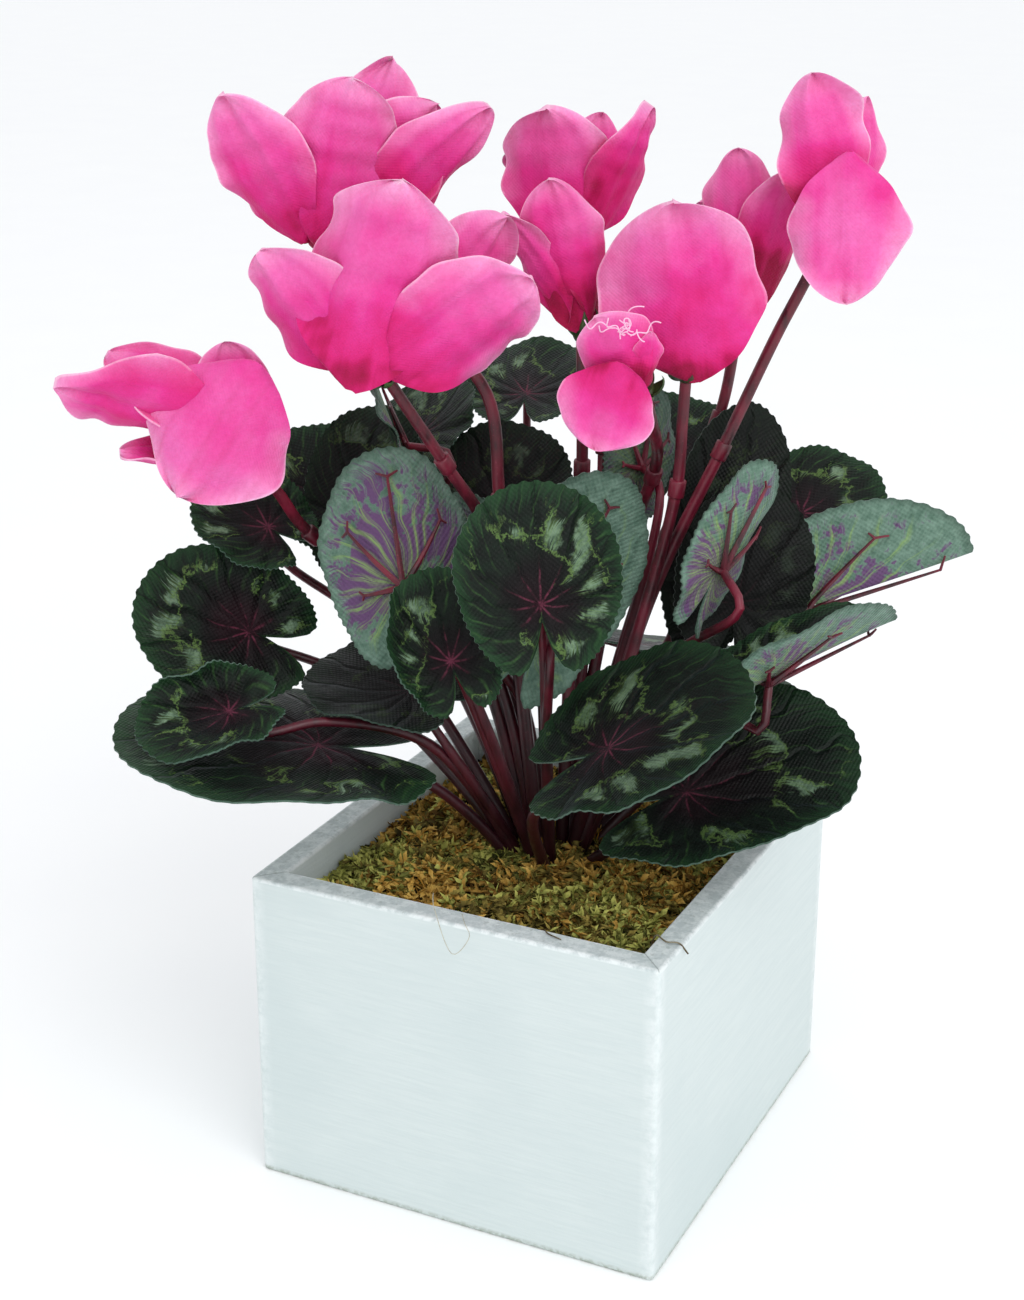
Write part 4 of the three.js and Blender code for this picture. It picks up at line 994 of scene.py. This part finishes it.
def makePaintedWood():
    # Fir brushed with a bluish white emulsion: matt, with faint brush lines along the board and
    # cloudy coverage. The rim is greyer, rubbed and chipped, the arrises carry a painted highlight
    # broken by streaks, a hairline shows at each mitre, and the foot is scuffed.
    look = dict(paint="#CFD9D8", shade="#C4D0D0", rim="#B4BFC0", rimLight="#D3DBDB", bare="#98A29E",
                light="#E6ECEC", foot="#8D9788")
    material, node = newMaterial("brushedEmulsion")
    place = node("TexCoord", output=3)
    arrisHighlight = node("Attribute", output=2, attribute_name="arrisHighlight")
    across = node("SeparateXYZ", place, output=0)
    deep = node("SeparateXYZ", place, output=1)
    high = node("SeparateXYZ", place, output=2)
    level = node("VectorMath", place, (60.0, 60.0, 1100.0))
    brush = node("TexNoise", level, 1.0, 4.0, 0.6)
    cloud = node("TexNoise", place, 24.0, 2.0, 0.5)
    speck = node("TexNoise", place, 750.0, 2.0, 0.6)
    streak = node("TexNoise", place, 330.0, 4.0, 0.7)
    colour = node("Mix", node("MapRange", brush, 0.35, 0.65, 0, 0.5), look["paint"], look["shade"])
    colour = node("Mix", node("MapRange", cloud, 0.5, 0.7, 0, 0.5), colour, look["shade"])
    rimColour = node("Mix", node("MapRange", streak, 0.42, 0.62), look["rim"], look["rimLight"])
    rimColour = node("Mix", node("MapRange", speck, 0.60, 0.68, 0, 0.5), rimColour, look["bare"])
    colour = node("Mix", node("MapRange", high, 0.0915, 0.0922, 0, 0.9), colour, rimColour)
    # painted highlight along the rounded arrises, broken by streaks
    streakedArrisHighlight = node("Math", arrisHighlight, node("MapRange", streak, 0.35, 0.6, 0.05, 0.7))
    colour = node("Mix", streakedArrisHighlight, colour, look["light"])
    sideways = node("Math", node("Math", across, operation="ABSOLUTE"), 0.060, operation="SUBTRACT")
    inwards = node("Math", node("Math", deep, operation="ABSOLUTE"), 0.065, operation="SUBTRACT")
    mitre = node("Math", sideways, inwards, operation="SUBTRACT")
    mitre = node("MapRange", node("Math", mitre, operation="ABSOLUTE"), 0.00035, 0.0001)
    mitre = node("Math", mitre, node("MapRange", high, 0.0917, 0.0922, 0, 0.6))
    colour = node("Mix", mitre, colour, "#6F7A78")
    foot = node("Math", node("MapRange", high, 0.0020, 0.0004),
                node("MapRange", speck, 0.4, 0.6, 0.3, 0.9))
    colour = node("Mix", foot, colour, look["foot"])
    relief = node("Math", speck, 0.5, brush, operation="MULTIPLY_ADD")
    finishMaterial(node, colour, 0.6, relief, 0.10, Specular_IOR_Level=0.35)
    return material


def makeBoxWalls(material):
    # A section of the wall (inset from the outer face, height), rounded at the rim, carried round
    # a rectangle with rounded corners: a corner's centre plus its radius less the inset.
    size = boxSize
    turn = np.linspace(0, math.pi / 2, 5)
    e, wall, high = size["edge"], size["wall"], size["height"]
    outerArc = np.stack([e - e * np.cos(turn), high - e + e * np.sin(turn)], -1)
    innerArc = np.stack([wall - e + e * np.sin(turn), high - e + e * np.cos(turn)], -1)
    low, bend = size["lift"], high - e - 0.35
    outside = [[0.5, low - 0.5], [0, low], [0, 6], [0, 50], [0, 84], [0, bend]]
    top = [[e + 0.4, high], [wall / 2, high], [wall - e - 0.4, high]]
    inside = [[wall, bend], [wall, 60], [wall, 6], [wall, low - 0.5]]
    section = np.concatenate([outside, outerArc, top, innerArc, inside])
    signs = np.array([[1, -1], [1, 1], [-1, 1], [-1, -1]])
    starts = np.array([-90, 0, 90, 180])
    loops = []
    for inset, height in section:
        radius = max(size["corner"] - inset, 0.35)
        loop = []
        for sign, begin in zip(signs, starts):
            centre = sign * ([size["width"] / 2 - inset - radius, size["depth"] / 2 - inset - radius])
            angle = np.radians(begin + np.linspace(0, 90, 7))
            loop.append(centre + radius * np.stack([np.cos(angle), np.sin(angle)], -1))
        loop = np.concatenate(loop)
        following = np.roll(loop, -1, axis=0)
        long = np.linalg.norm(following - loop, axis=1) > 20
        count = np.where(long, size["stations"] // 2, 1)
        owner = np.repeat(np.arange(len(loop)), count)
        share = (np.arange(len(owner)) - np.repeat(np.cumsum(count) - count, count)) / count[owner]
        plan = loop[owner] + (following - loop)[owner] * share[:, None]
        loops.append(np.column_stack([plan, np.full(len(plan), height)]))
    points = np.stack(loops)
    rows, columns = points.shape[:2]
    index = np.arange(rows * columns).reshape(rows, columns)
    nextRow = np.roll(index, -1, axis=0)
    quads = np.stack([index, np.roll(index, -1, 1), np.roll(nextRow, -1, 1), nextRow], -1).reshape(-1, 4)
    inset, height = section[:, 0], section[:, 1]
    # mask for a painted highlight along the rounded rim edges and the corners
    atRim = ((height > high - e - 0.01) & ((inset < e + 0.01) | (inset > wall - e - 0.01))).astype(float)
    arrisHighlight = np.repeat(atRim[:, None], columns, 1)
    toSides = np.stack([size["width"] / 2 - np.abs(points[..., 0]),
                        size["depth"] / 2 - np.abs(points[..., 1])])
    nearCorner, other = toSides.min(0), toSides.max(0)
    arrisHighlight = np.maximum(arrisHighlight, 0.8 * ((nearCorner < 0.9) & (other < size["corner"] + 0.05)))
    piece = meshObject("boxWalls", points.reshape(-1, 3), [quads], [material], None, None,
                       {"arrisHighlight": arrisHighlight.ravel()}, sharp=40)
    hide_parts(*["planter_wall_" + side for side in ("front", "right", "back", "left")])


paintedWood = makePaintedWood()
makeBoxWalls(paintedWood)
print("box done")


# Dried moss: a mat whose near-black colour is painted shade in the gaps, and curled sprigs with
# leaflets in three shades that cover it.
mossSize = dict(halfWidth=51.5, halfDepth=56.5, low=72.3, edge=82.3, crown=3.2, cells=150,
                sprigs=1250, steps=8, length=(6, 17), radius=0.3, leaflets=10,
                leafletLength=(1.8, 4.4), leafletWidth=(0.45, 1.1), clumps=85, spread=3.6,
                seed=31)


def mossHeight(x, y):
    # crown * cos * cos over the box, with tufts from crossed waves
    riseX = np.cos(math.pi * x / (2 * mossSize["halfWidth"]))
    riseY = np.cos(math.pi * y / (2 * mossSize["halfDepth"]))
    tuft = (np.sin(x * 0.31 + 1.3 * np.sin(y * 0.17)) * np.sin(y * 0.27 + 1.1 * np.sin(x * 0.21))
            + 0.5 * np.sin(x * 0.83 + y * 0.4) * np.sin(y * 0.71 - x * 0.3))
    return mossSize["edge"] + mossSize["crown"] * (riseX * riseY) + 1.5 * tuft


def makeMossMaterial(name, dark, middle, light):
    # Air-dried sheet moss: matt, brittle leaflets that go from green through straw to brown,
    # lighter at their tips, where they bleached.
    material, node = newMaterial(name)
    place = node("TexCoord", output=3)
    tip = node("Attribute", output=2, attribute_name="tip")
    shade = node("Attribute", output=2, attribute_name="shade")
    coarse = node("TexNoise", place, 160.0, 3.0, 0.6)
    fine = node("TexNoise", place, 700.0, 3.0, 0.6)
    amount = node("Math", coarse, shade, operation="ADD")
    colour = node("Mix", node("MapRange", amount, 0.58, 1.02), dark, middle)
    bleached = node("Math", tip, node("MapRange", amount, 0.60, 1.15, 0.05, 1.0))
    colour = node("Mix", bleached, colour, light)
    colour = node("Mix", node("MapRange", fine, 0.5, 0.68, 0, 0.6), colour, dark)
    finishMaterial(node, colour, 0.9, fine, 0.3, Specular_IOR_Level=0.15)
    return material


def makeMossMat(material):
    # a grid over the box with noise in its height, closed by sides and a flat underside
    draw = np.random.default_rng(mossSize["seed"])
    cells = mossSize["cells"]
    x, y = np.meshgrid(np.linspace(-1, 1, cells) * mossSize["halfWidth"],
                       np.linspace(-1, 1, cells) * mossSize["halfDepth"], indexing="ij")
    z = mossHeight(x, y) - 1.6 + draw.normal(0, 0.5, x.shape)
    quads, border = gridFaces(cells, cells)
    top = np.stack([x, y, z], -1).reshape(-1, 3)
    foot = top[border] * [1, 1, 0] + [0, 0, mossSize["low"]]
    low = len(top) + np.arange(len(border))
    rim = np.stack([border, low, np.roll(low, -1), np.roll(border, -1)], -1)
    blank = np.zeros(len(top) + len(foot))
    piece = meshObject("mossMat", np.concatenate([top, foot]), [quads, rim, low[::-1][None]],
                       [material], None, None, {"tip": blank, "shade": blank + 0.3}, sharp=80)
    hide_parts("moss_layer")


def makeSprigs(name, material, seed):
    # Each sprig's stem: start + the sum of steps along a heading that turns, arched as
    # sin(pi s). Leaflets stand on both sides of it, each two triangles round a keel:
    # p, p + way l / 2 + side w, p + way l, p + way l / 2 - side w. Sprigs gather in clumps of one
    # tone.
    draw = np.random.default_rng(seed)
    size = mossSize
    count, steps, pairs = size["sprigs"], size["steps"], size["leaflets"]
    field = np.array([size["halfWidth"] - 1, size["halfDepth"] - 1])
    clump = draw.uniform(-1, 1, (size["clumps"], 2)) * field
    member = draw.integers(0, size["clumps"], count)
    start = clump[member] + draw.normal(0, size["spread"], (count, 2))
    start = np.where(np.abs(start) < field, start, draw.uniform(-1, 1, (count, 2)) * field)
    heading = draw.uniform(0, 2 * math.pi, count)
    length = draw.uniform(*size["length"], count)
    s = np.linspace(0, 1, steps)[None, :]
    turn = draw.uniform(-1.5, 1.5, count)[:, None] * math.pi * s + heading[:, None]
    stride = (length / steps)[:, None]
    x = start[:, :1] + np.cumsum(np.cos(turn) * stride, axis=1)
    y = start[:, 1:] + np.cumsum(np.sin(turn) * stride, axis=1)
    x = np.clip(x, -size["halfWidth"], size["halfWidth"])
    y = np.clip(y, -size["halfDepth"], size["halfDepth"])
    rise = draw.uniform(0.2, 3.6, count)[:, None]
    sunk = draw.uniform(-1.2, 0.9, count)[:, None]
    arch = rise * np.sin(math.pi * s) + sunk
    toWall = np.minimum(size["halfWidth"] - np.abs(x), size["halfDepth"] - np.abs(y))
    inwards = np.clip(toWall / 5, 0.1, 1)
    z = mossHeight(x, y) - 1.0 + arch * inwards
    path = np.stack([x, y, z], -1)
    tone = 0.6 * draw.uniform(0, 1, size["clumps"])[member] + 0.4 * draw.uniform(0, 1, count)
    stems, faceLists = tubeSurface(path, size["radius"] * (1.1 - 0.7 * s) + 0 * x, 3)
    parts = [(stems, faceLists, None, {"tip": np.zeros(len(stems)), "shade": np.repeat(tone, steps * 3)})]
    tangent = unit(np.gradient(path, axis=1))
    grow = draw.uniform(0.15, 1.0, (count, pairs))
    at = np.minimum((grow * (steps - 1)).astype(int), steps - 1)
    owner = np.arange(count)[:, None]
    base, ahead = path[owner, at], tangent[owner, at]
    side = unit(np.cross(ahead, draw.normal(0, 1, ahead.shape) * 0.5 + [0, 0, 1.0]))
    side = side * draw.choice([-1.0, 1.0], (count, pairs, 1))
    way = unit(ahead * 0.8 + side * 0.7 + [0, 0, 0.25] + draw.normal(0, 0.25, ahead.shape))
    flat = unit(np.cross(way, [0, 0, 1.0]) + draw.normal(0, 0.35, way.shape))
    long = draw.uniform(*size["leafletLength"], (count, pairs, 1))
    wide = draw.uniform(*size["leafletWidth"], (count, pairs, 1))
    sag = np.array([0, 0, -1.0]) * draw.uniform(0, 0.35, (count, pairs, 1)) * long
    corners = np.stack([base, base + way * long * 0.45 + flat * wide, base + way * long + sag,
                        base + way * long * 0.45 - flat * wide], 2).reshape(-1, 3)
    faces = np.arange(len(corners)).reshape(-1, 4)
    faces = np.concatenate([faces[:, [0, 1, 2]], faces[:, [0, 2, 3]]])
    parts.append((corners, [faces], None, {"tip": np.tile([0, 0.5, 1.0, 0.5], count * pairs),
                                           "shade": np.repeat(tone, pairs * 4)}))
    points, faceLists, cut, facts = joinParts(parts)
    piece = meshObject(name, points, faceLists, [material], None, None, facts, sharp=180)


# the mat's near-black colours are painted shade for the gaps between the sprigs
makeMossMat(makeMossMaterial("mossBedPaintedShade", "#0E0B05", "#1E190C", "#302812"))
for number, (name, colours) in enumerate({
        "mossOlive": ("#303312", "#8C8F44", "#D2D072"),
        "mossStraw": ("#4A320F", "#A97C30", "#E2BE66"),
        "mossBrown": ("#221C0C", "#6A5E2C", "#AE9C50")}.items()):
    makeSprigs(name, makeMossMaterial(name + "Leaflets", *colours), mossSize["seed"] + 1 + number)


def makeStrays(material):
    # A pale hair that loops over the front rim and two moss strands that lie across it.
    high = boxSize["height"]
    hair = smoothCurve([(-12, -50, 83), (-8, -57, high + 3), (-3, -66, high + 4), (4, -69, 86),
                        (8, -67.4, high - 1), (6, -66, high + 1.2), (2, -60, high + 0.6)], 60)
    strand = smoothCurve([(48, -44, 83), (52, -48, high + 0.2), (56, -51, high + 0.7),
                          (59, -50, high + 0.5), (61.2, -49, high - 2.5)], 40)
    other = smoothCurve([(20, -50, 83), (24, -56, high - 1), (27, -60, high + 0.5),
                         (31, -61, high + 0.3)], 40)
    parts = []
    for path, radius in ((hair, 0.1), (strand, 0.22), (other, 0.18)):
        points, faceLists = tubeSurface(path[None], np.full((1, len(path)), radius), 6)
        ones = np.ones(len(points))
        shade = ones * (1 if radius < 0.15 else 0.2)
        parts.append((points, faceLists, None, {"tip": ones, "shade": shade}))
    points, faceLists, cut, facts = joinParts(parts)
    piece = meshObject("strays", points, faceLists, [material], None, None, facts, sharp=180)


makeStrays(makeMossMaterial("strayFibres", "#4A3A1C", "#8C8468", "#B9B7A6"))
print("moss done")


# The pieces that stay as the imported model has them.
def makeFloralFoam():
    # Phenolic floral foam: matt green, crushed open cells about half a millimetre wide.
    material, node = newMaterial("phenolicFoam")
    place = node("TexCoord", output=3)
    cells = node("TexVoronoi", place, named={"Scale": 1 / (0.9 * metre)})
    cloud = node("TexNoise", place, 120.0, 2.0, 0.5)
    colour = node("Mix", node("MapRange", cloud, 0.35, 0.65), "#3C4A2C", "#566340")
    colour = node("Mix", node("MapRange", cells, 0.2, 0.6, 0, 0.5), colour, "#2A3420")
    finishMaterial(node, colour, 0.95, cells, 0.4)
    return material


def dressNode(node, material):
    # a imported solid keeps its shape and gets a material
    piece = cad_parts[node]
    piece.data.materials.clear()
    piece.data.materials.append(material)


dressNode("foam_block", makeFloralFoam())
dressNode("planter_base", paintedWood)

# Studio: a white floor, a wide key from the upper right and an even sky.
studio = dict(azimuth=26.0, elevation=20.5, eye=(238, -514, 358), focalPixels=2187, framePixels=1300,
              sky=1.02, key=6.0, floor=24000)


def aimed(position, target):
    # a place and a turn that looks at target
    way = Vector(target) - Vector(position)
    return Matrix.Translation(Vector(position)) @ way.to_track_quat("-Z", "Y").to_matrix().to_4x4()


def makeLamp(name, power, size, position):
    # a square area lamp that looks at the middle of the plant
    lamp = bpy.data.lights.new(name, "AREA")
    lamp.energy = power
    lamp.size = size
    thing = bpy.data.objects.new(name, lamp)
    thing.matrix_world = aimed(position, (0, 0, 0.14))
    bpy.context.scene.collection.objects.link(thing)


def makeFloor():
    # a sheet of white melamine board, very slightly mottled
    half = studio["floor"] / 2
    points = np.array([[-half, -half, 0], [half, -half, 0], [half, half, 0], [-half, half, 0]], float)
    mesh = bpy.data.meshes.new("studioFloor")
    mesh.from_pydata((points * metre).tolist(), [], [(0, 1, 2, 3)])
    material, node = newMaterial("whiteMelamine")
    cloud = node("TexNoise", node("TexCoord", output=3), 16.0, 2.0, 0.5)
    colour = node("Mix", cloud, "#FBFCFC", "#F8F9FA")
    finishMaterial(node, colour, 0.9, cloud, 0.05, Specular_IOR_Level=0.1)
    mesh.materials.append(material)
    floor = bpy.data.objects.new("studioFloor", mesh)
    bpy.context.scene.collection.objects.link(floor)


def makeSky():
    # one even colour all round
    world = bpy.data.worlds.new("softSky")
    world.use_nodes = True
    background = world.node_tree.nodes["Background"]
    background.inputs[0].default_value = linearColour("#FBFCFE")
    background.inputs[1].default_value = studio["sky"]
    bpy.context.scene.world = world


def makeCamera():
    # Looks along the photograph's direction. The lens keeps its focal length in pixels.
    back = Vector(direction(studio["azimuth"], studio["elevation"]))
    right = Vector((math.cos(math.radians(studio["azimuth"])),
                    math.sin(math.radians(studio["azimuth"])), 0))
    upward = back.cross(right)
    lens = bpy.data.cameras.new("photoView")
    lens.sensor_width = 36
    lens.lens = studio["focalPixels"] / studio["framePixels"] * lens.sensor_width
    lens.clip_start = 0.01
    lens.clip_end = 100
    thing = bpy.data.objects.new("photoView", lens)
    turn = Matrix((right, upward, back)).transposed().to_4x4()
    thing.matrix_world = Matrix.Translation(Vector(studio["eye"]) * metre) @ turn
    bpy.context.scene.collection.objects.link(thing)
    bpy.context.scene.camera = thing


makeFloor()
makeSky()
makeLamp("keyLamp", studio["key"], 0.9, (0.75, -0.65, 0.95))
makeCamera()
bpy.context.scene.view_settings.view_transform = "Standard"
print("studio done")
